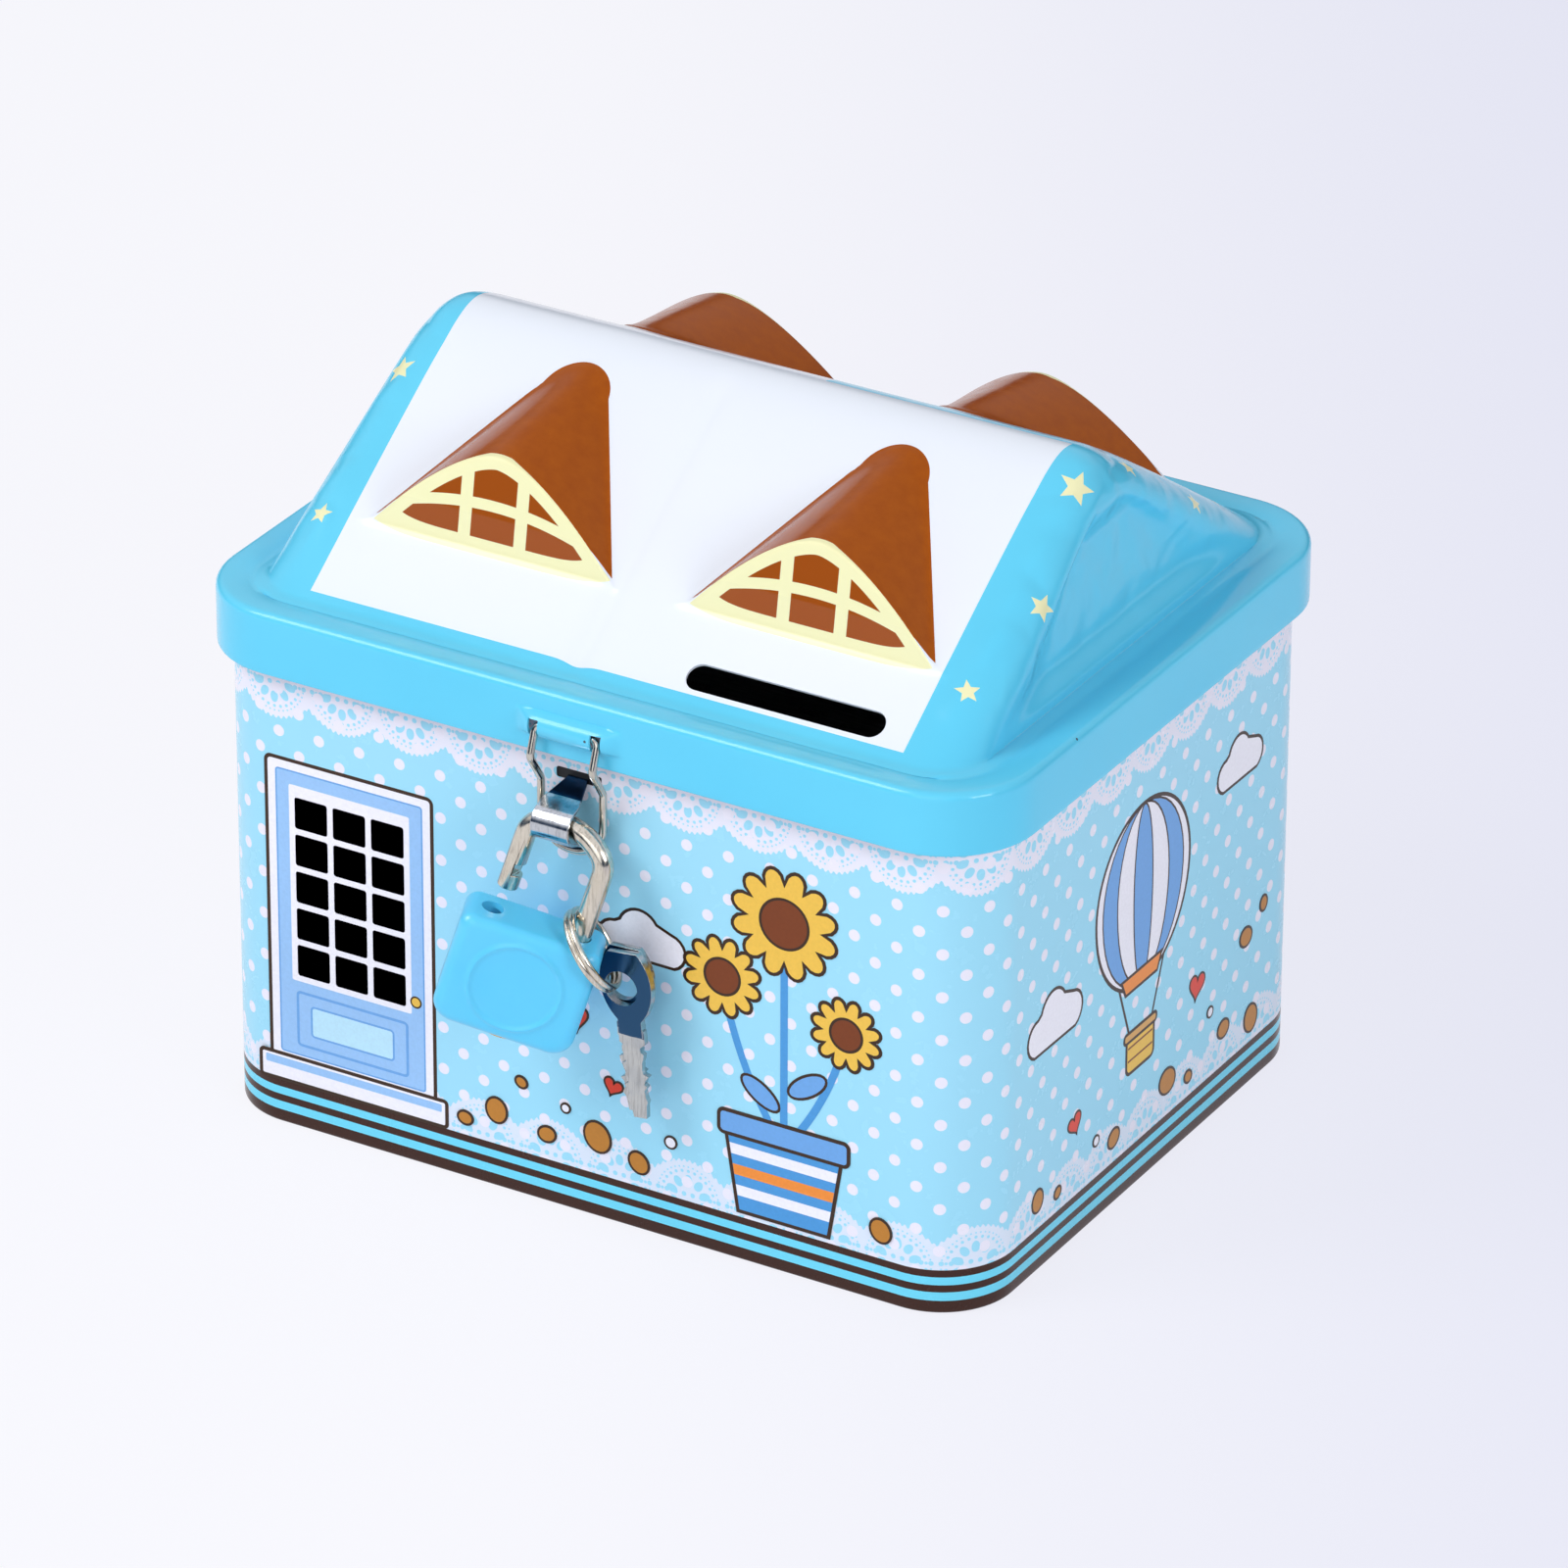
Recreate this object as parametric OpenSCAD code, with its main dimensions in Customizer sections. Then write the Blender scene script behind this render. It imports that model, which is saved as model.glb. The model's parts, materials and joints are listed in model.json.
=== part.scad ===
// Tin money box: a house-shaped box with a hinged gable lid, a wire hasp over a sheet staple
// and a small key padlock. Millimetres, +Z up, front is -Y, origin at the centre of the base.

/* [Box] */
// outside width of the box wall
body_w = 120; // [80:1:200]
// outside depth of the box wall
body_d = 95; // [60:1:160]
// height at which the lid skirt ends
skirt_low = 70; // [40:1:140]
// radius of the upright corners of the wall
corner_r = 11; // [4:0.5:25]
// thickness of the printed sheet
sheet = 0.4; // [0.25:0.05:0.8]
// diameter of the rolled upper edge
curl_d = 1.9; // [1.2:0.1:3]
// width of the folded-in lower edge
hem_w = 1.8; // [1:0.1:4]
// height of the flange of the base plate
base_flange = 4; // [2:0.5:8]

/* [Lid] */
// how far the lid skirt stands out from the wall
overhang = 2.3; // [1.5:0.1:4]
// height of the lid skirt
skirt_h = 9.2; // [6:0.1:20]
// height of the ridge above the base
ridge_z = 106.6; // [90:0.1:150]
// rise of the front and back slopes for each unit of run
slope_k = 0.7; // [0.4:0.05:1.2]
// rounding of the ridge
ridge_r = 5; // [1:0.5:12]
// half length of the gable at its foot
gable_hx = 55.4; // [30:0.1:58]
// rounding of the four hips
hip_r = 8; // [2:0.5:14]
// depth of the sunk triangle on each gable end
panel_sink = 1.8; // [0:0.1:3]
// distance between the middles of two dormers side by side
dormer_gap = 49.4; // [36:0.2:60]
// half width of a dormer window at its foot
dormer_w = 18.6; // [10:0.1:20]
// height of a dormer window
dormer_h = 13.1; // [6:0.1:16]
// length of the coin slot
slot_l = 30; // [20:0.5:45]
// width of the coin slot
slot_w = 4; // [2.5:0.1:6]
// distance from the middle of the lid to the middle of the coin slot
slot_x = 26.7; // [-30:0.1:30]

/* [Hasp] */
// distance of the hasp from the middle of the front
hasp_x = -0.6; // [-10:0.1:10]
// diameter of the hasp wire
wire_d = 1.1; // [0.8:0.1:2]
// distance between the legs of the hasp wire
wire_span = 9.6; // [7:0.1:16]
// width of the staple strap at its loop
staple_w = 5.8; // [4:0.1:9]
// thickness of the staple strap
staple_t = 0.5; // [0.3:0.05:1]
// height of the shackle bar above the base
bar_z = 61.9; // [50:0.1:100]
// distance of the shackle bar from the wall
bar_out = 5.2; // [4:0.1:8]

/* [Hinge] */
// distance of each hinge from the middle of the back
hinge_x = 30; // [15:1:45]
// length of one hinge
hinge_l = 16; // [10:1:26]
// diameter of the hinge pin
pin_d = 1.2; // [0.8:0.1:2]
// diameter of a hinge knuckle
knuckle_d = 2.4; // [2:0.1:4]
// thickness of the hinge leaves
leaf_t = 0.5; // [0.3:0.1:1]

/* [Padlock] */
// diameter of the shackle
shackle_d = 2.9; // [2:0.1:4]
// distance between the shackle legs
leg_span = 12.2; // [10:0.1:20]
// radius of the shackle's crown, to the middle of the rod
crown_r = 8; // [6.5:0.5:14]
// lean of the padlock away from the wall, in degrees
lean = 8; // [4:1:30]
// roll of the padlock to one side, in degrees
roll = 15.5; // [0:0.5:20]
// turn of the open case about the long leg, in degrees
swivel = 23; // [0:1:45]
// width of the padlock case
case_w = 19.6; // [17:0.1:30]
// height of the padlock case
case_h = 16.5; // [14:0.5:24]
// thickness of the padlock case
case_t = 8.6; // [7:0.1:12]
// Thickness of the cover let into the back of the case
back_t = 0.6; // [0.4:0.1:1]
// distance from the shackle bar down to the open padlock's case
case_drop = 13.9; // [10:0.1:16]
// diameter of the lock plug
plug_d = 7; // [5:0.1:8]

/* [Keys] */
// diameter of the key ring to the middle of its wire
ring_d = 11.4; // [11:0.1:20]
// wire of the key ring
ring_wire = 0.9; // [0.6:0.1:1.4]
// thickness of a key
key_t = 1.1; // [0.8:0.1:2]
// length of a key blade
blade_l = 12.7; // [8:0.1:24]

/* [Hidden] */
$fn = 72;
fit = 0.1;
hx = body_w / 2;
hy = body_d / 2;
skirt_x = hx + overhang;
skirt_y = hy + overhang;
skirt_r = corner_r + overhang;
skirt_top = skirt_low + skirt_h;
curl_z = skirt_top - 1.5;
panel_y = hy - sheet;

// ---------------------------------------------------------------- helpers
// Sweeps a flat section round a rounded rectangle; the section's x is 0 on the outline.
module sweep_round(sx, sy, r) {
  for (c = [[1, 1, 0], [-1, 1, 90], [-1, -1, 180], [1, -1, 270]])
    translate([c[0] * (sx - r), c[1] * (sy - r), 0]) rotate([0, 0, c[2]])
      rotate_extrude(angle = 90) translate([r, 0]) children();
  for (s = [1, -1]) {
    translate([s * sx, s * (r - sy), 0]) rotate([90, 0, s > 0 ? 0 : 180]) mirror([0, 0, 1])
      linear_extrude(2 * (sy - r)) children();
    translate([s * (sx - r), s * sy, 0]) rotate([90, 0, s > 0 ? 90 : 270]) mirror([0, 0, 1])
      linear_extrude(2 * (sx - r)) children();
  }
}

module plate_round(sx, sy, r, h) {
  linear_extrude(h) union() {
    square([2 * (sx - r), 2 * sy], center = true);
    square([2 * sx, 2 * (sy - r)], center = true);
    for (i = [-1, 1], j = [-1, 1]) translate([i * (sx - r), j * (sy - r)]) circle(r);
  }
}

// Points of a path through p with its corners bent to radius r, k steps to a bend.
function rounded(p, r, k) = let (n = len(p)) [for (i = [0:n - 1]) each
  let (a = unit(p[(i + n - 1) % n] - p[i]), b = unit(p[(i + 1) % n] - p[i]),
    g = acos(a * b) / 2, rr = r[i], c = p[i] + unit(a + b) * rr / sin(g), t = rr / tan(g))
  [for (j = [0:k]) let (q = 2 * (90 - g) * (j / k - 0.5), m = -unit(a + b), e = unit(b - a))
    c + rr * (m * cos(q) + e * sin(q))]];
function unit(v) = v / norm(v);
// A round wire of diameter d along the closed path p, m facets round.
module wire_loop(p, d, m) {
  n = len(p);
  pts = [for (i = [0:n - 1]) each
    let (t = unit(p[(i + 1) % n] - p[(i + n - 1) % n]), u = unit(cross(t, [0, 1, 0.001])),
      v = cross(t, u)) [for (k = [0:m - 1]) p[i] + d / 2 * (u * cos(360 * k / m) + v * sin(360 * k / m))]];
  polyhedron(points = pts, faces = [for (i = [0:n - 1], k = [0:m - 1]) each
    let (a = m * i + k, b = m * i + (k + 1) % m, c = m * ((i + 1) % n) + k,
      e = m * ((i + 1) % n) + (k + 1) % m) [[a, b, e], [a, e, c]]]);
}
// The same along the open path p, which lies in the plane y = 0; its ends are flat.
module rod(p, d, m) {
  n = len(p);
  pts = [for (i = [0:n - 1]) each let (v = cross(unit(p[min(i + 1, n - 1)] - p[max(i - 1, 0)]), [0, 1, 0]))
    [for (k = [0:m - 1]) p[i] + d / 2 * ([0, cos(360 * k / m), 0] + v * sin(360 * k / m))]];
  polyhedron(points = pts, faces = concat([[for (k = [m - 1:-1:0]) k]],
    [[for (k = [0:m - 1]) m * (n - 1) + k]],
    [for (i = [0:n - 2], k = [0:m - 1]) each let (a = m * i + k, b = m * i + (k + 1) % m)
      [[a, b, b + m], [a, b + m, a + m]]]));
}
function arc(c, r, a, b, n) = [for (i = [0:n]) let (t = a + (b - a) * i / n)
  [c[0] + r * cos(t), 0, c[1] + r * sin(t)]];

// ---------------------------------------------------------------- box
module body_wall() color("LightSkyBlue") {
  difference() {
    union() {
      sweep_round(hx, hy, corner_r) {
        translate([-sheet, 0]) square([sheet, curl_z - curl_d / 3]);
        translate([-hem_w, 0]) square([hem_w, sheet]);
        translate([curl_d / 2 - sheet / 2, curl_z - curl_d / 2]) difference() {
          circle(d = curl_d);
          circle(d = curl_d - 2 * sheet);
          translate([0, -curl_d]) square([0.35, curl_d]);
        }
      }
      // lapped seam down the inside of the back
      translate([-3, panel_y - sheet, base_flange + 0.6]) cube([6, sheet, curl_z - base_flange - 4]);
    }
    for (s = [0, 1]) translate([hasp_x - staple_root / 2 - fit, -hy - 1, bar_z]) mirror([0, 0, s])
      translate([0, 0, arm_low(bar_out) - fit / 2])
        cube([staple_root + 2 * fit, 3, arm_high(bar_out + sheet) - arm_low(bar_out) + fit]);
    for (s = [-1, 1], i = [-1, 1])
      translate([s * hinge_x + i * 5.5, hy + 1, 62.5]) rotate([90, 0, 0]) cylinder(d = 1.5, h = 3);
  }
}

module base_plate() color("Silver") {
  bx = hx - sheet;
  by = hy - sheet;
  br = corner_r - sheet;
  sweep_round(bx, by, br) polygon([[0, sheet], [0, base_flange], [-sheet, base_flange],
    [-sheet, 2 * sheet], [-4, 2 * sheet], [-5, 2 * sheet + 0.9], [-5.5, 2 * sheet + 0.9],
    [-5.5, sheet + 0.9], [-5, sheet + 0.9], [-4, sheet]]);
  translate([0, 0, sheet + 0.9]) plate_round(bx - 5, by - 5, br - 5, sheet);
}

// ---------------------------------------------------------------- lid
// The lid is one pressed sheet: rings of points from the skirt's lower edge up to the ridge,
// taken once on the outside and once a sheet's thickness further in.
foot_z = skirt_top + 0.1;
function slope_y(z) = sqrt(pow((ridge_z - z) / slope_k + ridge_r, 2) - ridge_r * ridge_r);
function shoulder(z) = z < ridge_z - 6 ? 0 : 6 * (1 - sqrt(1 - pow((z - ridge_z + 6) / 6.001, 2)));
function gable_x(z) = gable_hx - (z - foot_z) / 8 - shoulder(z);
function ease(a, b, v) = let (t = min(1, max(0, (v - a) / (b - a)))) t * t * (3 - 2 * t);
skirt_sx = skirt_x - skirt_r;
// places of the points along the front and back, closer together at the wire tunnel
along = concat([-1, -0.83, -0.66, -0.5, -0.35],
  [for (d = [-9.2, -7.6, -6.2, -5, -3.4, -1.7, 0, 1.7, 3.4, 5, 6.2, 7.6, 9.2])
    (hasp_x + d) / skirt_sx], [0.35, 0.5, 0.66, 0.83, 1]);
nf = len(along);
ne = 9;
nc = 5;
np = 2 * nf + 2 * ne + 4 * nc;
// each ring: half length, half depth, corner radius, height
rings = concat(
  [for (v = [0, 2.4, 3.2, 4.3, 5.4, 6.2, 8]) [skirt_x, skirt_y, skirt_r, skirt_low + v]],
  [[skirt_x - 0.35, skirt_y - 0.35, skirt_r - 0.35, skirt_top - 0.35],
   [skirt_x - 1.1, skirt_y - 1.1, skirt_r - 1.1, skirt_top],
   [skirt_x - 3.6, skirt_y - 3.6, skirt_r - 3.6, skirt_top],
   [skirt_x - 5.4, skirt_y - 5.4, skirt_r - 5.2, skirt_top - 0.3],
   [gable_hx + 0.7, slope_y(foot_z) + 0.9, hip_r, foot_z - 0.1],
   [gable_hx - 0.1, slope_y(foot_z) - 0.7, hip_r, foot_z + 0.9]],
  [for (d = [24.1, 20.6, 16.6, 12.6, 9.6, 7.1, 5.1, 3.6, 2.2, 1.1, 0.4, 0.1])
    let (z = ridge_z - d) [gable_x(z), slope_y(z), min(hip_r, slope_y(z) * 0.95), z]]);
nr = len(rings);
// the tunnel for the hasp wire, pressed out of the front of the skirt
function tunnel(x, z) = let (h = 1.75 * 1.75 - pow((z - skirt_low - 4.3) * 0.95, 2))
  h <= 0 ? 0 : sqrt(h) * (1 - ease(5, 8.5, abs(x - hasp_x)));
// a shallow press line runs down the middle of the front slope
function fold(x) = 0.4 * exp(-pow((x + 4) / 2.2, 2));
function front_pt(x, y, z, i) = [x, i < 7 ? y - tunnel(x, z) : i < 13 ? y : y + fold(x), z];
// the gable ends carry a sunk triangle
function end_pt(x, y, z, v) = [x - sign(x) * panel_sink * ease(0, 0.35, 1 - abs(v)) *
  ease(foot_z + 1, foot_z + 4, z) * (1 - ease(ridge_z - 10.6, ridge_z - 5.6, z)), y, z];
function corner_pts(a, t0) = [for (j = [1:nc]) let (t = t0 + 90 * j / (nc + 1))
  [sign(cos(t)) * (a[0] - a[2]) + a[2] * cos(t), sign(sin(t)) * (a[1] - a[2]) + a[2] * sin(t), a[3]]];
function ring_pts(i) = let (a = rings[i], sx = a[0] - a[2], sy = a[1] - a[2], z = a[3]) concat(
  [for (u = along) front_pt(sx * u, -a[1], z, i)], corner_pts(a, -90),
  [for (j = [0:ne - 1]) let (v = 2 * j / (ne - 1) - 1) end_pt(a[0], sy * v, z, v)],
  corner_pts(a, 0),
  [for (j = [nf - 1:-1:0]) [sx * along[j], a[1], z]], corner_pts(a, 90),
  [for (j = [0:ne - 1]) let (v = 1 - 2 * j / (ne - 1)) end_pt(-a[0], sy * v, z, v)],
  corner_pts(a, 180));
outer = [for (i = [0:nr - 1]) ring_pts(i)];
function inset(i, j) = outer[i][j] - sheet * unit(cross(
  outer[i][(j + 1) % np] - outer[i][(j + np - 1) % np],
  outer[min(i + 1, nr - 1)][j] - outer[max(i - 1, 0)][j]));
inner = [for (i = [0:nr - 1]) [for (j = [0:np - 1]) let (p = inset(i, j))
  [p[0], p[1], i == 0 ? skirt_low - 1 : p[2]]]];
last = (nr - 1) * np;
back = nf + 2 * nc + ne;
shell_faces = concat(
  [for (i = [0:nr - 2], j = [0:np - 1]) each
    let (a = i * np + j, b = i * np + (j + 1) % np) [[a, b + np, b], [a, a + np, b + np]]],
  [for (j = [0:nf - 2]) each let (a = last + j, c = last + back + nf - 2 - j)
    [[a, c, a + 1], [a, c + 1, c]]],
  [[for (j = [back:-1:nf - 1]) last + j]],
  [concat([last], [for (j = [np - 1:-1:back + nf - 1]) last + j])],
  [[for (j = [0:np - 1]) j]]);
module shell(rows) polyhedron(points = [for (r = rows) each r], faces = shell_faces,
  convexity = 6);

// A dormer is a hood that runs out level from the slope over an arched window;
// e is how far it is drawn in, and dormers() sets one on each quarter of the roof.
dormer_top = ridge_z - 2.4;
dormer_foot = dormer_top - 16.9;
dormer_y = slope_y(dormer_foot) + 0.1;
module hood(e) {
  w = dormer_w - 1.6 * e;
  arch = [for (i = [0:20]) let (u = i / 10 - 1, z = (dormer_h - 1.1 * e) * (1 - pow(abs(u), 1.55)))
    [w * u, dormer_y - e - 0.16 * z, dormer_foot + z]];
  // the hood dies out into the slope in a small round
  tip = [for (i = [0:8]) let (u = i / 4 - 1, z = dormer_top - 1.3 * e - 1.9 * u * u)
    [(4.4 - e) * u, slope_y(z) + 0.8 * e, z]];
  pts = concat(arch, tip, [[0, slope_y(dormer_top), dormer_top - 4], [-w, dormer_y - e, dormer_foot - 2],
    [w, dormer_y - e, dormer_foot - 2]]);
  hull() polyhedron(points = pts, faces = [for (i = [1:len(pts) - 2]) [0, i, i + 1]]);
}
module dormers(e) for (s = [-1, 1], f = [0, 1]) translate([1.1 + s * dormer_gap / 2, 0, 0])
  mirror([0, 1 - f, 0]) hood(e);

slot_y = -40.2;
slot_z = 81.9;
module roof_lid() color("DeepSkyBlue") resize([0, 0, 0]) difference() {
  union() {
    shell(outer);
    dormers(0);
  }
  shell(inner);
  dormers(sheet);
  translate([slot_x, slot_y, slot_z]) rotate([atan(slope_k) - 3, 0, 0]) union() {
    cube([slot_l - slot_w, slot_w, 8], center = true);
    for (s = [-1, 1]) translate([s * (slot_l - slot_w) / 2, 0, 0])
      cylinder(d = slot_w, h = 8, center = true, $fn = 24);
  }
  for (s = [-1, 1]) translate([hasp_x + s * wire_span / 2, -skirt_y - 1, skirt_low + 4.2])
    cube([wire_d + 0.4, 2.6, 3.2], center = true);
  for (s = [-1, 1], i = [-1, 1]) translate([s * hinge_x + i * 5.5, skirt_y, skirt_low + 4.5])
    rotate([90, 0, 0]) cylinder(d = 1.56, h = 3, center = true, $fn = 16);
}

// ---------------------------------------------------------------- hasp
wire_y = -skirt_y - 0.7;
wire_z = skirt_low + 4.4;
// The legs lean out over the skirt's edge, step back towards the wall and end in a round bow.
wire_out = 1.5;
wire_step = 4.2;
module hasp_wire() color("Gainsboro") translate([hasp_x, wire_y, wire_z]) {
  w = wire_span / 2;
  right = [[w, 0, 0], [w, -wire_out, -wire_step], [w, 1.2, -8.4], [w, 1.2, -18]];
  wire_loop(rounded(concat(right, [for (i = [3:-1:0]) [-right[i][0], right[i][1], right[i][2]]]),
    [0.9, 1.2, 1.2, w - 0.2, w - 0.2, 1.2, 1.2, 0.9], 7), wire_d, 14);
}

// The strap goes round the shackle; its arms spread by arm_a and narrow to staple_root at the wall.
eye_r = shackle_d / 2 + 0.65;
arm_a = 20;
staple_root = 3.2;
// heights of an arm's two faces over the bar, at a distance d behind it
function arm_low(d) = eye_r / cos(arm_a) + d * tan(arm_a);
function arm_high(d) = (eye_r + staple_t) / cos(arm_a) + d * tan(arm_a);
module hasp_staple() color("LightSteelBlue") translate([hasp_x, -hy - bar_out, bar_z]) intersection() {
  near = bar_out + sheet;
  far = near + staple_t;
  tab = arm_high(near) + 2.5;
  w = staple_w / 2;
  bend = [for (t = [90 + arm_a:5:270 - arm_a]) [cos(t), sin(t)]];
  rotate([90, 0, 90]) linear_extrude(2 * w, center = true) polygon(concat(
    [[near, tab], [near, arm_high(near)]], (eye_r + staple_t) * bend,
    [[near, -arm_high(near)], [near, -tab], [far, -tab], [far, -arm_low(far)]],
    [for (i = [len(bend) - 1:-1:0]) eye_r * bend[i]], [[far, arm_low(far)], [far, tab]]));
  linear_extrude(30, center = true) polygon([[-w, -4], [-w, 0.5], [-staple_root / 2, bar_out - 0.5],
    [-staple_root / 2, far + 1], [staple_root / 2, far + 1], [staple_root / 2, bar_out - 0.5],
    [w, 0.5], [w, -4]]);
}

// ---------------------------------------------------------------- hinges
axis_y = skirt_y + 1.4;
axis_z = skirt_low - 1;
knuckle_l = 6;
module knuckle(x, l, d) translate([x, axis_y, axis_z]) rotate([0, 90, 0]) difference() {
  cylinder(d = knuckle_d, h = l);
  translate([0, 0, -1]) cylinder(d = d, h = l + 2);
}

module body_leaf(s) color("Silver") difference() {
  union() {
    translate([s * hinge_x - hinge_l / 2, hy, 58.5]) cube([hinge_l, leaf_t, axis_z - 58.9]);
    for (x = [-hinge_l / 2, knuckle_l / 2 + fit / 2]) translate([s * hinge_x, 0, 0]) {
      w = hinge_l / 2 - knuckle_l / 2 - fit / 2;
      knuckle(x, w, pin_d);
      translate([x, hy, axis_z - knuckle_d / 2]) cube([w, axis_y - hy, leaf_t]);
    }
  }
  for (i = [-1, 1]) translate([s * hinge_x + i * 5.5, hy + 1, 62.5]) rotate([90, 0, 0])
    cylinder(d = 1.5, h = 3);
}

module lid_leaf(s) color("Silver") difference() {
  union() {
    translate([s * hinge_x - hinge_l / 2, skirt_y, skirt_low + 0.5])
      cube([hinge_l, leaf_t, skirt_h - 2]);
    translate([s * hinge_x - knuckle_l / 2, skirt_y, axis_z]) cube([knuckle_l, leaf_t, 2]);
    translate([s * hinge_x, 0, 0]) knuckle(-knuckle_l / 2, knuckle_l, pin_d + fit);
  }
  translate([s * hinge_x - knuckle_l, axis_y, axis_z]) rotate([0, 90, 0])
    cylinder(d = pin_d + fit, h = 2 * knuckle_l);
  for (i = [-1, 1]) translate([s * hinge_x + i * 5.5, skirt_y, skirt_low + 4.5])
    rotate([90, 0, 0]) cylinder(d = 1.5, h = 3, center = true);
}

module hinge_pin(s) color("DimGray")
  translate([s * hinge_x - hinge_l / 2 - 0.4, axis_y, axis_z]) rotate([0, 90, 0]) {
    cylinder(d = pin_d, h = hinge_l + 0.8);
    cylinder(d = pin_d + 0.7, h = 0.4);
    translate([0, 0, hinge_l + 0.4]) cylinder(d = pin_d + 0.7, h = 0.4);
  }

// A rivet through a stack of sheets, head on +Y; y is where the stack's outer face lies.
module rivet(x, y, z, stack) translate([x, y, z]) rotate([-90, 0, 0]) {
  translate([0, 0, -stack - 0.35]) cylinder(d = 2.1, h = 0.35);
  translate([0, 0, -stack - 0.1]) cylinder(d = 1.5, h = stack + 0.2);
  intersection() {
    cylinder(d = 2.6, h = 0.7);
    translate([0, 0, -0.95]) sphere(r = 1.6);
  }
}

module hinge_body_rivets() color("Silver") for (s = [-1, 1], i = [-1, 1])
  rivet(s * hinge_x + i * 5.5, hy + leaf_t, 62.5, leaf_t + sheet);
module hinge_lid_rivets() color("Silver") for (s = [-1, 1], i = [-1, 1])
  rivet(s * hinge_x + i * 5.5, skirt_y + leaf_t, skirt_low + 4.5, leaf_t + sheet + 0.02);

// ---------------------------------------------------------------- padlock
// Its own frame: the origin is the top of the crown, and the legs run down -Z. The crown's arc
// hangs in the staple at the place where it runs level, a little above the eye's middle.
rise = 0.3;
hang = [crown_r * sin(roll), 0, crown_r * (1 - cos(roll)) + rise];
module lock_frame() translate([hasp_x, -hy - bar_out, bar_z]) rotate([0, roll, 0])
  rotate([-lean, 0, 0]) translate(hang) children();
leg_x = leg_span / 2;
// the open case is turned about the long leg
module case_frame() lock_frame() translate([leg_x, 0, 0]) rotate([0, 0, swivel])
  translate([-leg_x, 0, 0]) children();
shoulder_r = 3.5;
crown_a = asin((leg_x - shoulder_r) / (crown_r - shoulder_r));
leg_top = (crown_r - shoulder_r) * cos(crown_a) - crown_r;
case_top = -case_drop;
case_low = case_top - case_h;
lift = 6;
long_end = case_top - 3.9;
short_end = -12.6;
bolt_z = case_top - 1.6;

module case_outline(inset = 0) {
  w = case_w / 2 - inset;
  t = 1.8 - inset / 2;
  b = 3 - inset / 2;
  translate([-w, case_low + inset + b]) square([2 * w, case_h - 2 * inset - t - b]);
  translate([-w + b, case_low + inset]) square([2 * (w - b), b + 0.01]);
  translate([-w + t, case_top - inset - t - 0.01]) square([2 * (w - t), t + 0.01]);
  for (s = [-1, 1]) {
    translate([s * (w - b), case_low + inset + b]) circle(b);
    translate([s * (w - t), case_top - inset - t]) circle(t);
  }
}

module padlock_case() color("DeepSkyBlue") case_frame() difference() {
  union() {
    translate([0, case_t / 2, 0]) rotate([90, 0, 0]) linear_extrude(case_t) case_outline();
    translate([0, -case_t / 2, case_top - case_h / 2]) rotate([90, 0, 0]) difference() {
      cylinder(r = 6.5, h = 0.3);
      translate([0, 0, -1]) cylinder(r = 6, h = 2);
    }
  }
  translate([0, case_t / 2 + 1, 0]) rotate([90, 0, 0]) linear_extrude(1 + back_t) case_outline(1.4);
  translate([leg_x, 0, case_top - 15.5]) cylinder(d = shackle_d + 2 * fit, h = 16);
  translate([-leg_x, 0, case_top - 6]) cylinder(d = shackle_d + 2 * fit, h = 7);
  translate([0, 0, case_low - 1]) cylinder(d = plug_d + fit, h = 12.6);
  translate([-leg_x, -1.7, bolt_z - 0.75]) cube([leg_x + 2.6, 3.4, 1.5]);
  translate([0, 0, case_low + 11]) cylinder(d = 3.2, h = bolt_z - case_low - 11);
}

module padlock_back() color("DeepSkyBlue") case_frame()
  translate([0, case_t / 2, 0]) rotate([90, 0, 0]) linear_extrude(back_t) case_outline(1.4);

module shackle() color("Gainsboro") lock_frame() difference() {
  sx = leg_x - shoulder_r;
  crown = arc([0, -crown_r], crown_r, 90 + crown_a, 90 - crown_a, 10);
  union() {
    rod(concat([[-leg_x, 0, short_end]], arc([-sx, leg_top], shoulder_r, 180, 90 + crown_a, 6),
      [for (i = [1:9]) crown[i]], arc([sx, leg_top], shoulder_r, 90 - crown_a, 0, 6),
      [[leg_x, 0, long_end]]), shackle_d, 36);
    rod([[leg_x, 0, long_end + 0.4], [leg_x, 0, long_end - 0.8]], 1.4, 16);
  }
  translate([-leg_x + 0.55, -2, bolt_z + lift - 0.85]) cube([3, 4, 1.7]);
}

module shackle_follower() color("DarkGoldenrod") lock_frame()
  translate([leg_x, 0, long_end - 1.9]) difference() {
    cylinder(d = shackle_d + fit, h = 1.85);
    translate([0, 0, 0.9]) cylinder(d = 1.5, h = 1);
  }

// coil pressed to its working length, riding under the follower
coil_n = 48;
coil_w = 0.22;
module shackle_spring() color("Silver") lock_frame() translate([leg_x, 0, long_end - 2]) {
  path = [for (i = [0:coil_n]) let (t = 360 * 4 * i / coil_n)
    [cos(t) * 1.05, sin(t) * 1.05, -coil_w - 2.2 * i / coil_n]];
  polyhedron(
    points = concat([for (i = [0:coil_n]) each let (t = 360 * 4 * i / coil_n)
      [for (k = [0:5]) path[i] + coil_w * cos(60 * k) * [cos(t), sin(t), 0] +
        [0, 0, coil_w * sin(60 * k)]]]),
    faces = concat(
      [for (i = [0:coil_n - 1], k = [0:5]) each let (a = 6 * i + k, b = 6 * i + (k + 1) % 6)
        [[a, b, b + 6], [a, b + 6, a + 6]]],
      [[for (k = [5:-1:0]) k], [for (k = [0:5]) 6 * coil_n + k]]));
}

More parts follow.
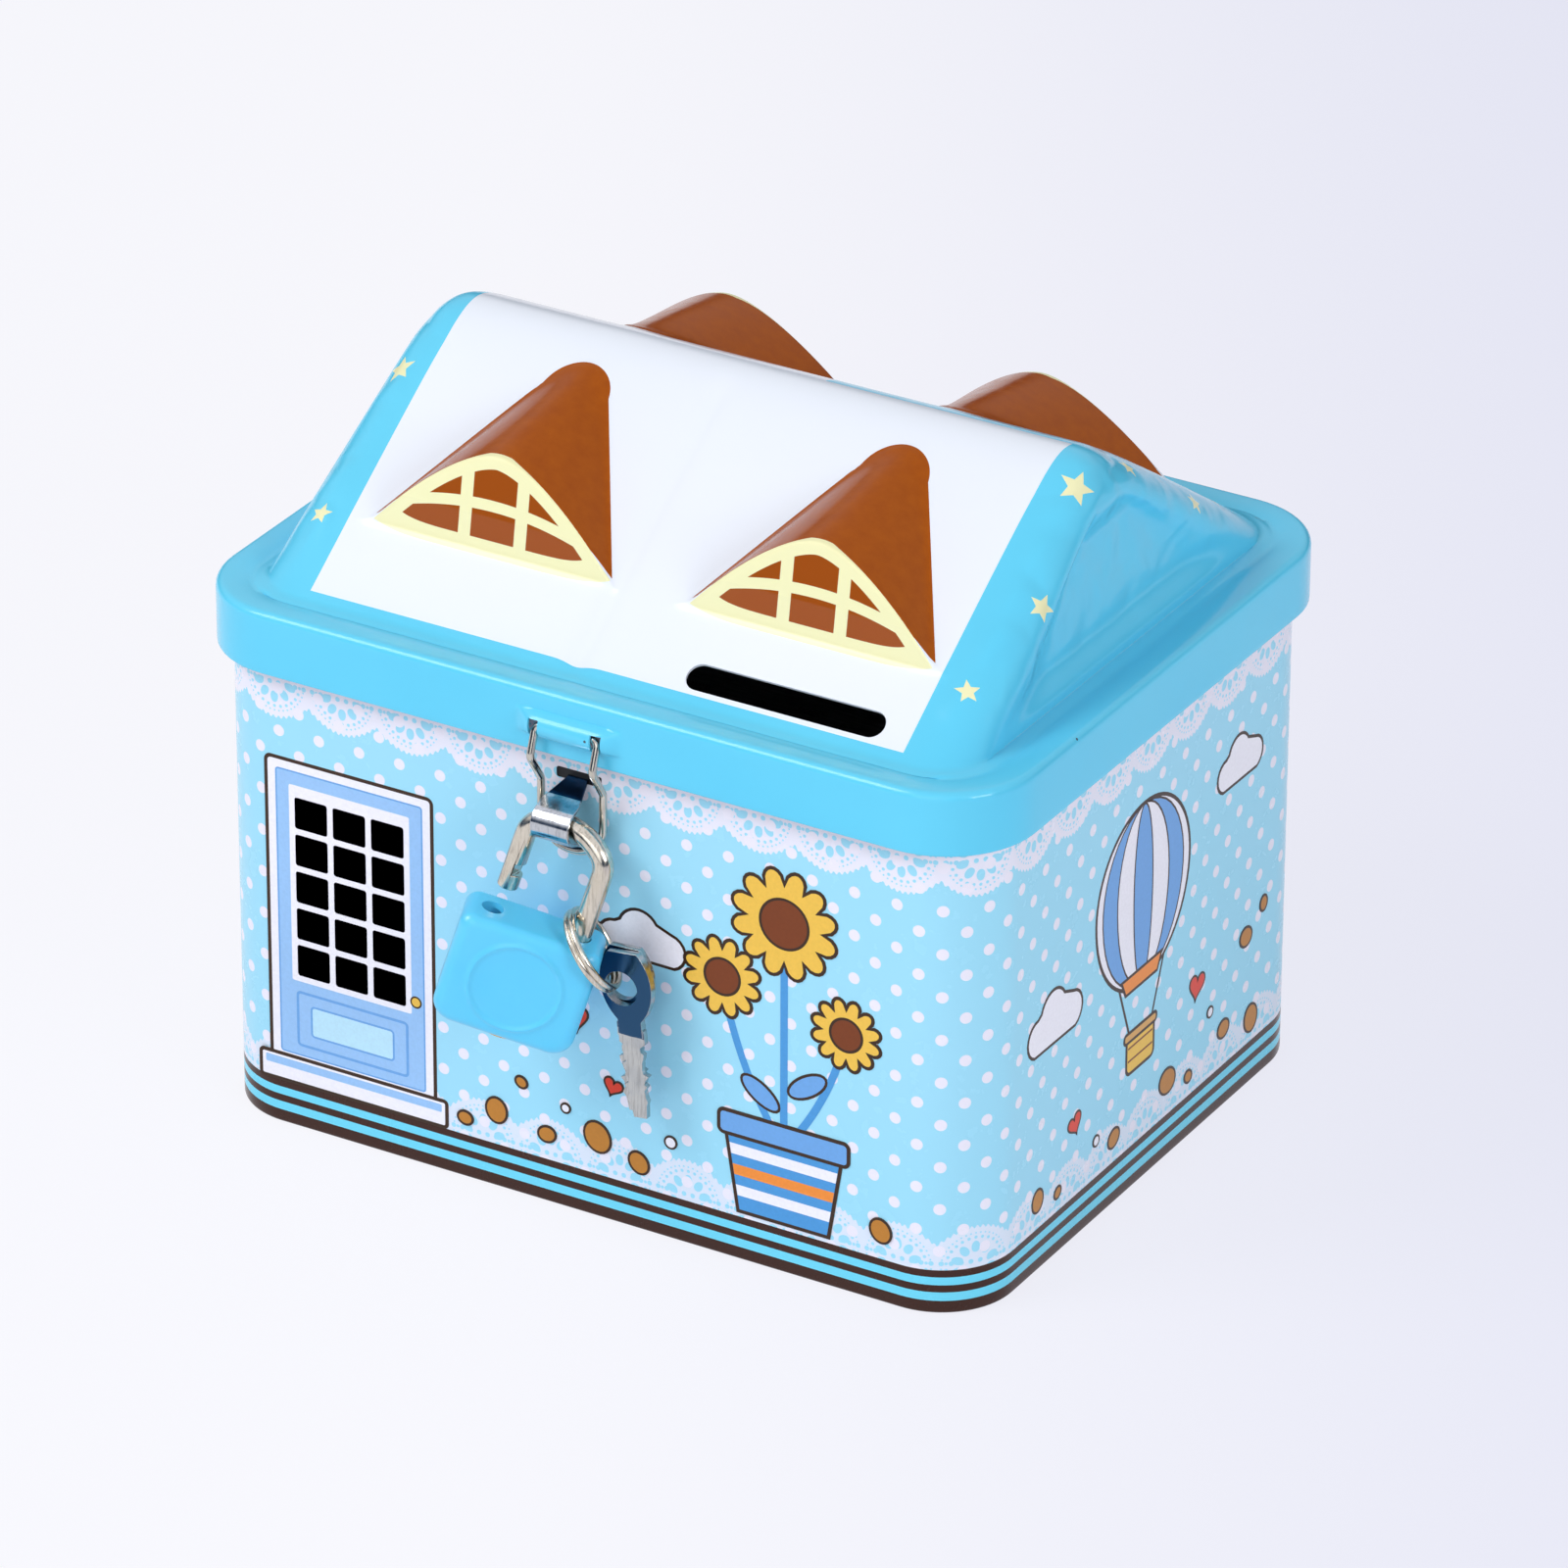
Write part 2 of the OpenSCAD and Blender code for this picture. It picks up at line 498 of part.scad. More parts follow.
module latch_bolt() color("DarkGoldenrod") case_frame()
  translate([-leg_x + shackle_d / 2 + 0.3, -1.6, bolt_z - 0.7]) difference() {
    cube([leg_x, 3.2, 1.4]);
    translate([leg_x - shackle_d / 2 - 0.3 - 0.6, 0.9, -1]) cube([1.2, 2, 3]);
  }

plug_top = case_low + 11.5;
module lock_plug() color("DarkGoldenrod") case_frame() difference() {
  union() {
    translate([0, 0, case_low]) cylinder(d = plug_d, h = 11.5);
    translate([0, 0.8, plug_top - 0.1]) cylinder(d = 0.8, h = bolt_z + 0.4 - plug_top);
  }
  translate([-2.2, -0.65, case_low - 1]) cube([4.4, 1.3, 10]);
  for (i = [0:3]) translate([-2.7, -1.55, case_low + 1.6 + 1.8 * i]) cube([5.4, 3.1, 0.6]);
}

module lock_wafers() color("Silver") case_frame() for (i = [0:3])
  translate([-2.65, -1.5, case_low + 1.6 + 1.8 * i]) difference() {
    cube([5.3, 3, 0.55]);
    translate([0.7 + 0.2 * (i % 2), 0.9, -1]) cube([3.6, 1.2, 3]);
  }

// ---------------------------------------------------------------- keys
ring_tilt = 40;
ring_r = ring_d / 2;
ring_a = [leg_x - shackle_d / 2 - 0.8, 0, case_top + 2.4];
ring_c = ring_a + [ring_r * cos(ring_tilt), 0, -ring_r * sin(ring_tilt)];
ring_b = 2 * ring_c - ring_a;
module key_ring() color("Gainsboro") case_frame() translate(ring_c) rotate([0, ring_tilt, 0])
  rotate_extrude() for (s = [-1, 1]) translate([ring_r, s * ring_wire * 0.44])
    circle(d = ring_wire);

// the same turns as lock_frame and case_frame, for one point
function turned(p, a, b) = let (q = [p[0], p[1] * cos(a) - p[2] * sin(a),
  p[1] * sin(a) + p[2] * cos(a)]) [q[0] * cos(b) + q[2] * sin(b), q[1],
  q[2] * cos(b) - q[0] * sin(b)];
reach = ring_b[0] - leg_x;
hook = [hasp_x, -hy - bar_out, bar_z] +
  turned(hang + [leg_x + reach * cos(swivel), reach * sin(swivel), ring_b[2]], -lean, roll);
// s is 0 for the key in front and 1 for the one behind it, a the lean to the side
module key(s, a) translate(hook + [1.1 - 0.7 * s, 1.3 * s, 0.1 * s - 0.35]) rotate([0, -a, 0]) {
  // the hole is a little to one side of the head's middle line
  off = 0.75;
  pitch = blade_l / 8;
  low = -6.4;
  translate([0, key_t / 2, 0]) rotate([90, 0, 0]) linear_extrude(key_t) difference() {
    translate([off, 0]) union() {
      intersection() {
        translate([-3.4, 0.6]) circle(7.4);
        translate([3.4, 0.6]) circle(7.4);
        translate([-5, -4.9]) square([10, 10.3]);
      }
      translate([-1.8, -7]) square([3.6, 4]);
    }
    circle(2.5);
  }
  translate([off, key_t / 2 - 0.1, 0]) rotate([90, 0, 0]) linear_extrude(key_t - 0.2)
    polygon(concat([[-2, -6], [-2, low - 1.2]],
      [for (i = [0:5]) each let (z = low - (i + 1) * pitch) [[-2 + 0.5 * (i % 2), z],
        [-1.2 - 0.3 * (i % 3), z - 0.4 * pitch], [-1.3, z - 0.8 * pitch]]],
      [[-1, low - blade_l], [1, low - blade_l]],
      [for (i = [5:-1:0]) each let (z = low - (i + 1) * pitch) [[1.2, z - 0.8 * pitch],
        [1.1 + 0.35 * (i % 2), z - 0.4 * pitch], [2 - 0.4 * (i % 3), z]]],
      [[2, low - 1.2], [2, -6]]));
}
module key_front() color("SlateGray") key(0, 6.5);
module key_rear() color("SlateGray") key(1, 4);

body_wall();
base_plate();
roof_lid();
hasp_wire();
hasp_staple();
body_leaf(-1);  // hinge_body_leaf_left
body_leaf(1);  // hinge_body_leaf_right
lid_leaf(-1);  // hinge_lid_leaf_left
lid_leaf(1);  // hinge_lid_leaf_right
hinge_pin(-1);  // hinge_pin_left
hinge_pin(1);  // hinge_pin_right
hinge_body_rivets();
hinge_lid_rivets();
padlock_case();
padlock_back();
shackle();
shackle_follower();
shackle_spring();
latch_bolt();
lock_plug();
lock_wafers();
key_ring();
key_front();
key_rear();
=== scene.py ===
"""Looks of a house-shaped tin money box: printed sheet, gable lid, wire hasp, padlock and keys."""
import json
from math import atan2, cos, pi, radians, sin

import bmesh
import bpy
import numpy as np
from mathutils import Matrix, Vector


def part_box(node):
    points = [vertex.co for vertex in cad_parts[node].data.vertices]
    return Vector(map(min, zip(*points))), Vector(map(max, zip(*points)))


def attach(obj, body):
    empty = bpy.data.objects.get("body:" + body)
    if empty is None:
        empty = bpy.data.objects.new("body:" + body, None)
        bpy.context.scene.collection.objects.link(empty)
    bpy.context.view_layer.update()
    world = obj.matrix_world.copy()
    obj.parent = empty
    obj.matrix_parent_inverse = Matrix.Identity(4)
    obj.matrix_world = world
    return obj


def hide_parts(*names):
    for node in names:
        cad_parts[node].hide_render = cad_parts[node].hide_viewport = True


bl_info = {
    "name": "Tin money box",
    "version": (1, 0, 0),
    "blender": (4, 5, 0),
    "location": "3D View > Sidebar > Tin box",
    "description": "Dresses the packed money box in printed tin, plated wire and enamel",
    "category": "Object",
}

MM = 0.001
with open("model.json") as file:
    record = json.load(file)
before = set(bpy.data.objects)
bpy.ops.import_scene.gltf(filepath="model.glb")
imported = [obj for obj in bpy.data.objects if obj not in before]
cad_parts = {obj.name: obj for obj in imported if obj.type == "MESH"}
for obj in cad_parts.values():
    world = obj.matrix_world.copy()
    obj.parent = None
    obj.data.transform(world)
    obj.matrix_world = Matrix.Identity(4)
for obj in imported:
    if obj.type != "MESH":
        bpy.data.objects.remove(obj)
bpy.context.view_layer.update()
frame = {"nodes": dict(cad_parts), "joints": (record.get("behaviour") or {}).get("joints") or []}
CAD_NODES = frame["nodes"]
JOINTS = {joint["name"]: joint for joint in frame["joints"]}
WALL_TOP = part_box("body_wall")[1][2] / MM
LID_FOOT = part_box("roof_lid")[0][2] / MM
SKIRT = 9.2  # height of the lid's skirt, mm
WIRE_HALF = 4.8  # half the span of the hasp's wire, mm
BASE_BAND = 6.7  # top of the dark band at the foot of the print, mm

# ------------------------------------------------------------------ sizes and colours


def size_property(name, text, default):
    """A size whose default is in millimetres, or in parts of the run for the slope."""
    return bpy.props.FloatProperty(name=name, description=text, default=default)


class TinBoxSizes(bpy.types.PropertyGroup):
    """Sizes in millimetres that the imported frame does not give"""

    wall_x: size_property("Wall half width", "Middle to the end wall", 60.0)
    wall_y: size_property("Wall half depth", "Middle to the front wall", 47.5)
    corner: size_property("Corner", "Radius of the upright corners", 11.0)
    sheet: size_property("Sheet", "Thickness of the tinplate", 0.4)
    overhang: size_property("Overhang", "Lid skirt outside the wall", 2.3)
    ridge: size_property("Ridge", "Height of the ridge", 106.6)
    slope: size_property("Slope", "Rise for each unit of run", 0.7)
    ridge_round: size_property("Ridge rounding", "Rounding of the ridge", 5.0)
    gable: size_property("Gable", "Half length of the gable at its foot", 55.4)
    dot_pitch: size_property("Dot pitch", "Distance between printed dots", 6.4)
    dot: size_property("Dot", "Radius of a printed dot", 0.85)
    scallop: size_property("Scallop", "Width of one scallop of the lace", 10.8)


def colour_property(name, text, hexadecimal):
    """A text field whose default is an sRGB hex value."""
    return bpy.props.StringProperty(name=name, description=text, default=hexadecimal)


class TinBoxColours(bpy.types.PropertyGroup):
    """Inks and finishes as sRGB hex values"""

    sky: colour_property("Sky", "ground of the wall print", "#9DE2F8")
    lid: colour_property("Lid", "blue of the lid", "#58CDF3")
    panel: colour_property("Panel", "white panel of the roof", "#F0F6FF")
    cocoa: colour_property("Cocoa", "brown of the dormers", "#9A4500")
    cream: colour_property("Cream", "cream of the lattice and stars", "#F6F3C0")
    lace: colour_property("Lace", "white of lace and dots", "#F1EFFB")
    lock: colour_property("Lock", "blue of the padlock", "#54CDFA")


# ------------------------------------------------------------------ small tools


def linear(hexadecimal):
    """sRGB hex to linear RGBA by the standard curve."""
    channels = [int(hexadecimal[i:i + 2], 16) / 255 for i in (1, 3, 5)]
    return tuple(c / 12.92 if c <= 0.04045 else ((c + 0.055) / 1.055) ** 2.4 for c in channels) + (1.0,)


def add(tree, kind, *values, inputs=None, **settings):
    """Adds a node; values and inputs are links or constants for its sockets, settings are its
    properties."""
    made = tree.nodes.new(kind)
    for key, value in settings.items():
        setattr(made, key, value)
    for key, value in {**dict(enumerate(values)), **(inputs or {})}.items():
        if isinstance(value, bpy.types.Node):
            value = value.outputs[0]
        if isinstance(value, bpy.types.NodeSocket):
            tree.links.new(value, made.inputs[key])
        elif value is not None:
            made.inputs[key].default_value = value
    return made


def maths(kind):
    """A maker of one kind of Math node, which is then called with the tree and its values."""
    return lambda tree, *values: add(tree, "ShaderNodeMath", *values, operation=kind)


(less, greater, minus, plus, times, over, larger, power, times_plus, size_of, fraction, sine, cosine,
 angle_of) = (
    maths(kind) for kind in ("LESS_THAN", "GREATER_THAN", "SUBTRACT", "ADD", "MULTIPLY", "DIVIDE", "MAXIMUM",
                             "POWER", "MULTIPLY_ADD", "ABSOLUTE", "FRACT", "SINE", "COSINE", "ARCTAN2"))


VECTOR = "ShaderNodeVectorMath"
SMOOTH = {"interpolation_type": "SMOOTHSTEP"}


def axes(tree, vector):
    """The three parts of a vector."""
    return add(tree, "ShaderNodeSeparateXYZ", vector).outputs


def joined(tree, x, y):
    """A vector in the plane of x and y."""
    return add(tree, "ShaderNodeCombineXYZ", x, y, 0.0)


def length(tree, vector):
    """The length of a vector."""
    return add(tree, VECTOR, vector, operation="LENGTH").outputs["Value"]


def vectors(kind):
    """A maker of one kind of Vector Math node."""
    return lambda tree, *values: add(tree, VECTOR, *values, operation=kind)


stretch, shrink, shift, offset_from, cell_of = (
    vectors(kind) for kind in ("MULTIPLY", "DIVIDE", "ADD", "SUBTRACT", "FRACTION"))


def noise(tree, place, scale, detail, roughness=0.5, distortion=0.0):
    """Fractal noise from 0 to 1."""
    inputs = {"Scale": scale, "Detail": detail, "Roughness": roughness, "Distortion": distortion}
    return add(tree, "ShaderNodeTexNoise", place, inputs=inputs).outputs[0]


def spread(tree, value, low, high, to_low, to_high, **settings):
    """Maps low to high of a value on to two other bounds, and holds it there unless clamp is off."""
    return add(tree, "ShaderNodeMapRange", value, low, high, to_low, to_high, **settings).outputs[0]


def bumped(tree, strength, distance, height, under=None):
    """Tilts the normal by a height whose full share is the distance in mm, over another bump."""
    inputs = {"Strength": strength, "Distance": distance * MM, "Height": height, "Normal": under}
    return add(tree, "ShaderNodeBump", inputs=inputs)


def new_material(name):
    """An empty node material with a Principled shader: returns material, tree, shader."""
    material = bpy.data.materials.new(name)
    material.use_nodes = True
    tree = material.node_tree
    tree.nodes.clear()
    shader = add(tree, "ShaderNodeBsdfPrincipled")
    add(tree, "ShaderNodeOutputMaterial", shader)
    return material, tree, shader


VARNISH = {"IOR": 1.42, "Specular_IOR_Level": 0.3, "Coat_Weight": 0.12, "Coat_Roughness": 0.08}


def finish_shader(shader, **sockets):
    """Links or sets the shader's sockets; underscores stand for spaces."""
    for key, value in sockets.items():
        socket = shader.inputs[key.replace("_", " ")]
        value = value.outputs[0] if isinstance(value, bpy.types.Node) else value
        if isinstance(value, bpy.types.NodeSocket):
            shader.id_data.links.new(value, socket)
        else:
            socket.default_value = value


def object_mm(tree):
    """Object coordinates in millimetres."""
    place = add(tree, "ShaderNodeTexCoord").outputs["Object"]
    return add(tree, VECTOR, place, inputs={"Scale": 1 / MM}, operation="SCALE")


def ink_over(tree, ground, ink, mask):
    """Lays one ink over a ground by a mask between 0 and 1."""
    return add(tree, "ShaderNodeMix", inputs={0: mask, 6: ground, 7: ink}, data_type="RGBA").outputs[2]


def both(tree, *masks):
    """1 where every mask is 1: their product."""
    result = masks[0]
    for mask in masks[1:]:
        result = times(tree, result, mask)
    return result


def grid_quads(rows, cols, wrap=(False, True)):
    """Row and column of each quad on a grid of points, whose rows or columns may close, and its four
    corners."""
    i, j = np.meshgrid(np.arange(rows - (not wrap[0])), np.arange(cols - (not wrap[1])), indexing="ij")
    i2, j2 = (i + 1) % rows, (j + 1) % cols
    return i, j, np.stack([i * cols + j, i * cols + j2, i2 * cols + j2, i2 * cols + j], -1).reshape(-1, 4)


def surface(name, points, materials, wrap=(False, False), uv=None, face_material=None):
    """A mesh on a grid of points in millimetres, rows by columns; wrap closes rows or columns. Faces
    point outwards when rows x columns turn right-handed, columns first."""
    i, j, quads = grid_quads(*points.shape[:2], wrap)
    mesh = polygons(name, points.reshape(-1, 3), quads)
    if uv is not None:
        corners = np.stack([uv[i, j], uv[i, j + 1], uv[i + 1, j + 1], uv[i + 1, j]], 2)
        mesh.uv_layers.new(name="print").uv.foreach_set("vector", corners.astype(np.float32).ravel())
    if face_material is not None:
        mesh.polygons.foreach_set("material_index", face_material[i, j].astype(np.int32).ravel())
    return piece(name, mesh, materials)


def polygons(name, points, *face_sets):
    """A smooth mesh from points in millimetres and arrays of faces, one array for each number of
    corners."""
    corners = np.concatenate([faces.ravel() for faces in face_sets])
    counts = np.concatenate([np.full(len(faces), faces.shape[1]) for faces in face_sets])
    mesh = bpy.data.meshes.new(name)
    mesh.vertices.add(len(points))
    mesh.vertices.foreach_set("co", (np.asarray(points) * MM).astype(np.float32).ravel())
    mesh.loops.add(len(corners))
    mesh.loops.foreach_set("vertex_index", corners.astype(np.int32))
    mesh.polygons.add(len(counts))
    mesh.polygons.foreach_set("loop_start", (np.cumsum(counts) - counts).astype(np.int32))
    mesh.polygons.foreach_set("use_smooth", np.ones(len(counts), bool))
    mesh.update(calc_edges=True)
    mesh.validate()
    return mesh


def piece(name, mesh, materials):
    """A scene object at the origin that holds the mesh."""
    made = bpy.data.objects.new(name, mesh)
    bpy.context.scene.collection.objects.link(made)
    for material in materials:
        mesh.materials.append(material)
    return made


def apply_modifiers(target):
    """Replaces the mesh by the result of the object's modifiers."""
    solved = bpy.data.meshes.new_from_object(target.evaluated_get(bpy.context.evaluated_depsgraph_get()))
    target.modifiers.clear()
    target.data = solved


def unit(vectors):
    """The vectors at length 1."""
    return vectors / np.linalg.norm(vectors, axis=-1, keepdims=True)


def tube(path, radius, sides):
    """Points of a round tube along a closed path: around each path point, radius times
    (u cos a + v sin a), where u and v are square to the tangent."""
    tangent = unit(np.roll(path, -1, 0) - np.roll(path, 1, 0))
    u = unit(np.cross(tangent, [0.02, 1.0, 0.03]))
    v = np.cross(tangent, u)
    angle = np.linspace(0, 2 * pi, sides, endpoint=False)[None, :, None]
    return path[:, None] + radius * (u[:, None] * np.cos(angle) + v[:, None] * np.sin(angle))


def rounded(corners, radii, steps):
    """A closed path through the corners, each bent to an arc of its radius in equal angle steps."""
    corners = np.array(corners, float)
    points = []
    for k, corner in enumerate(corners):
        a = corners[k - 1] - corner
        b = corners[(k + 1) % len(corners)] - corner
        a, b = unit(a), unit(b)
        half = np.arccos(np.clip(a @ b, -1, 1)) / 2
        out = unit(a + b)
        across = unit(b - a)
        turn = (pi - 2 * half) * (np.linspace(0, 1, steps) - 0.5)[:, None]
        centre = corner + out * radii[k] / sin(half)
        points.append(centre + radii[k] * (across * np.sin(turn) - out * np.cos(turn)))
    return np.concatenate(points)


def softened(node, width, materials, body, angle=50):
    """A copy of a CAD solid, merged, with its sharp edges rounded by a bevel of the given width in mm."""
    source = CAD_NODES[node]
    mesh = source.data.copy()
    work = bmesh.new()
    work.from_mesh(mesh)
    bmesh.ops.remove_doubles(work, verts=work.verts, dist=0.002 * MM)
    bmesh.ops.dissolve_limit(work, angle_limit=radians(0.5), verts=work.verts, edges=work.edges)
    for face in work.faces:
        face.smooth = True
    work.to_mesh(mesh)
    work.free()
    mesh.materials.clear()
    made = piece(node + "_finished", mesh, materials)
    bevel = made.modifiers.new("rounded edges", "BEVEL")
    bevel.width = width * MM
    bevel.segments = 2
    bevel.limit_method = "ANGLE"
    bevel.angle_limit = radians(angle)
    bevel.harden_normals = True
    bevel.use_clamp_overlap = True
    mesh.set_sharp_from_angle(angle=radians(angle))
    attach(made, body)
    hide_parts(node)
    return made


# ------------------------------------------------------------------ the house's outline and roof


def carve(made, cutters):
    """Cuts prisms out of a closed piece. Each is a pair of equal rings of points in mm, the low one
    first."""
    for ring in cutters:
        n = ring.shape[1]
        k = np.arange(n)
        sides = np.stack([k, (k + 1) % n, n + (k + 1) % n, n + k], 1)
        mesh = bpy.data.meshes.new("cutter")
        mesh.from_pydata((ring.reshape(-1, 3) * MM).tolist(), [],
                         sides.tolist() + [k[::-1].tolist(), (n + k).tolist()])
        tool = piece("cutter", mesh, [])
        cut = made.modifiers.new("cut", "BOOLEAN")
        cut.operation, cut.object, cut.solver = "DIFFERENCE", tool, "MANIFOLD"
        apply_modifiers(made)
        bpy.data.objects.remove(tool)


ARC_STEPS, STRAIGHT_STEPS = 20, 9


def outline(half_x, half_y, radius):
    """A rounded rectangle run from the middle of the back round past the front, counter-clockwise from
    above. Returns points, outward normals and the length run, with zero at the middle of the front."""
    points, normals = [], []
    sx, sy = half_x - radius, half_y - radius
    for cx, cy, start in ((-sx, sy, 90), (-sx, -sy, 180), (sx, -sy, 270), (sx, sy, 0)):
        angle = np.radians(start + np.linspace(0, 90, ARC_STEPS))
        normal = np.stack([np.cos(angle), np.sin(angle)], 1)
        points.append(np.array([cx, cy]) + radius * normal)
        normals.append(normal)
    stretches_p, stretches_n = [], []
    back, back_normal = [np.array([[0, half_y]])], [np.array([[0, 1.0]])]
    stops = back + points + back
    stop_normals = back_normal + normals + back_normal
    for k in range(len(stops) - 1):
        stretches_p.append(stops[k])
        stretches_n.append(stop_normals[k])
        t = np.linspace(0, 1, STRAIGHT_STEPS + 2)[1:-1, None]
        stretches_p.append(stops[k][-1] * (1 - t) + stops[k + 1][0] * t)
        stretches_n.append(np.repeat(stop_normals[k + 1][:1], STRAIGHT_STEPS, 0))
    stretches_p.append(stops[-1])
    stretches_n.append(stop_normals[-1])
    p, n = np.concatenate(stretches_p), np.concatenate(stretches_n)
    run = np.concatenate([[0], np.cumsum(np.linalg.norm(np.diff(p, axis=0), axis=1))])
    return p, n, run - run[-1] / 2


def swept(profile, half_x, half_y, radius):
    """A closed profile of (outward, height) pairs swept round the outline; returns points and the length
    run."""
    p, n, run = outline(half_x, half_y, radius)
    xy = p[None, :-1] + profile[:, None, :1] * n[None, :-1]
    z = np.repeat(profile[:, 1:], xy.shape[1], 1)
    return np.concatenate([xy, z[..., None]], -1), run


def arc(cx, cy, radius, start, end, count):
    """Points on a circle, angles in degrees."""
    angle = np.radians(np.linspace(start, end, count))
    return np.stack([cx + radius * np.cos(angle), cy + radius * np.sin(angle)], 1)


def smooth_max(a, b, blend):
    """The larger of two surfaces, their crease filled over about the blend length."""
    return 0.5 * (a + b + np.sqrt((a - b) ** 2 + blend ** 2))


def ease(low, high, value):
    """0 below low, 1 above high, 3t^2 - 2t^3 between."""
    t = np.clip((value - low) / (high - low), 0, 1)
    return t * t * (3 - 2 * t)


DORMER_MIDDLE = 1.1
DORMER_HALF_GAP = 24.7
DORMER_HALF = 18.6
DORMER_RISE = 13.1
DORMER_POWER = 1.55
TIP_HALF = 4.4
TIP_DROP = 1.9
WINDOW_TILT = 0.16
TIP_DEPTH = 9.96


def slope_depth(size, z):
    """Distance of the roof slope from the ridge line at a height: the slope is a hyperbola rounded at
    the ridge."""
    return np.sqrt(((size.ridge - z) / size.slope + size.ridge_round) ** 2 - size.ridge_round ** 2)


def slope_height(size, y):
    """Height of the plain slope: ridge - slope (sqrt(y^2 + r^2) - r)."""
    return size.ridge - size.slope * (np.sqrt(y * y + size.ridge_round ** 2) - size.ridge_round)


def dormer_places(size):
    """Heights of a dormer's tip and foot, and how far forward its window stands."""
    top = size.ridge - 2.4
    foot = top - 16.9
    return top, foot, float(slope_depth(size, foot)) + 0.1


def dormer_height(size, x, y):
    """Height of the dormer at a plan point: straight lines run from a small arch at the tip to the
    window's arch, whose height falls off as |u| to the 1.55; the window is a steep plane that cuts the
    hood off."""
    top, foot, front = dormer_places(size)
    dx = np.abs(x - DORMER_MIDDLE) - DORMER_HALF_GAP
    u = dx / DORMER_HALF
    # the share u across the hood settles in a few rounds, each moved half way to keep it steady
    for _ in range(24):
        bow = (u * u + 0.012) ** (DORMER_POWER / 2) - 0.012 ** (DORMER_POWER / 2)
        rise = DORMER_RISE * (1 - bow)
        back = slope_depth(size, top - TIP_DROP * np.minimum(u * u, 1.6))
        along = (y - back) / (front - WINDOW_TILT * rise - back)
        width = TIP_HALF + (DORMER_HALF - TIP_HALF) * np.clip(along, 0, 1.2)
        u = 0.5 * u + 0.5 * np.clip(dx / width, -2.4, 2.4)
    hood = (1 - along) * (top - TIP_DROP * u * u) + along * (foot + rise)
    hood = np.where(along < 0, top - TIP_DROP * u * u - 1.2 * (back - y), hood)
    window = foot + (front - y) / WINDOW_TILT
    return -smooth_max(-hood, -window, 0.6)


def lid_profile(size):
    """The lid's rings from the skirt's lower edge to the ridge: half length, half depth, corner radius,
    height, and how much of the fold, dormers and end panels each ring takes (0 on the skirt and ledge, 1
    on the roof)."""
    low, top = LID_FOOT, LID_FOOT + SKIRT
    x, y, r = size.wall_x + size.overhang, size.wall_y + size.overhang, size.corner + size.overhang
    foot = top + 0.1
    edge = arc(-0.3, low + 0.3, 0.3, -60, 0, 4)
    skirt = np.stack([np.zeros(26), np.concatenate([[low + 1.2, low + 2],
                                                    np.linspace(low + 2.3, low + 6.5, 20),
                                                    [low + 7, low + 7.5, low + 7.8, low + 8.1]])], 1)
    shoulder = arc(-1.1, top - 1.1, 1.1, 0, 90, 8)
    ledge = np.array([[-1.8, top], [-2.6, top - 0.02], [-3.4, top - 0.06], [-4.2, top - 0.18],
                      [-4.9, top - 0.3]])
    rim = np.concatenate([edge, skirt, shoulder, ledge])
    rings = [[x + e, y + e, r + e * 0.95, z, 0.0] for e, z in rim]
    depth = float(slope_depth(size, foot))
    rings += [[size.gable + 1.3, depth + 1.5, 8.6, foot - 0.32, 0.0],
              [size.gable + 0.6, depth + 0.8, 8.2, foot - 0.1, 0.3]]
    _, _, front = dormer_places(size)
    depths = np.concatenate([
        np.linspace(depth + 0.1, front + 0.3, 19), np.linspace(front + 0.12, front - 2.6, 24),
        np.linspace(front - 3.0, 12, 40), np.linspace(11.5, 1.5, 26), [1.0, 0.5, 0.15]])
    z = slope_height(size, depths)
    over = np.clip((z - size.ridge + 6) / 6.001, 0, 0.9999)
    half = size.gable - (z - foot) / 8 - 6 * (1 - np.sqrt(1 - over ** 2))
    radius = np.minimum(8, depths * 0.95)
    rings += np.stack([half, depths, radius, z, np.ones_like(z)], 1).tolist()
    return np.array(rings)


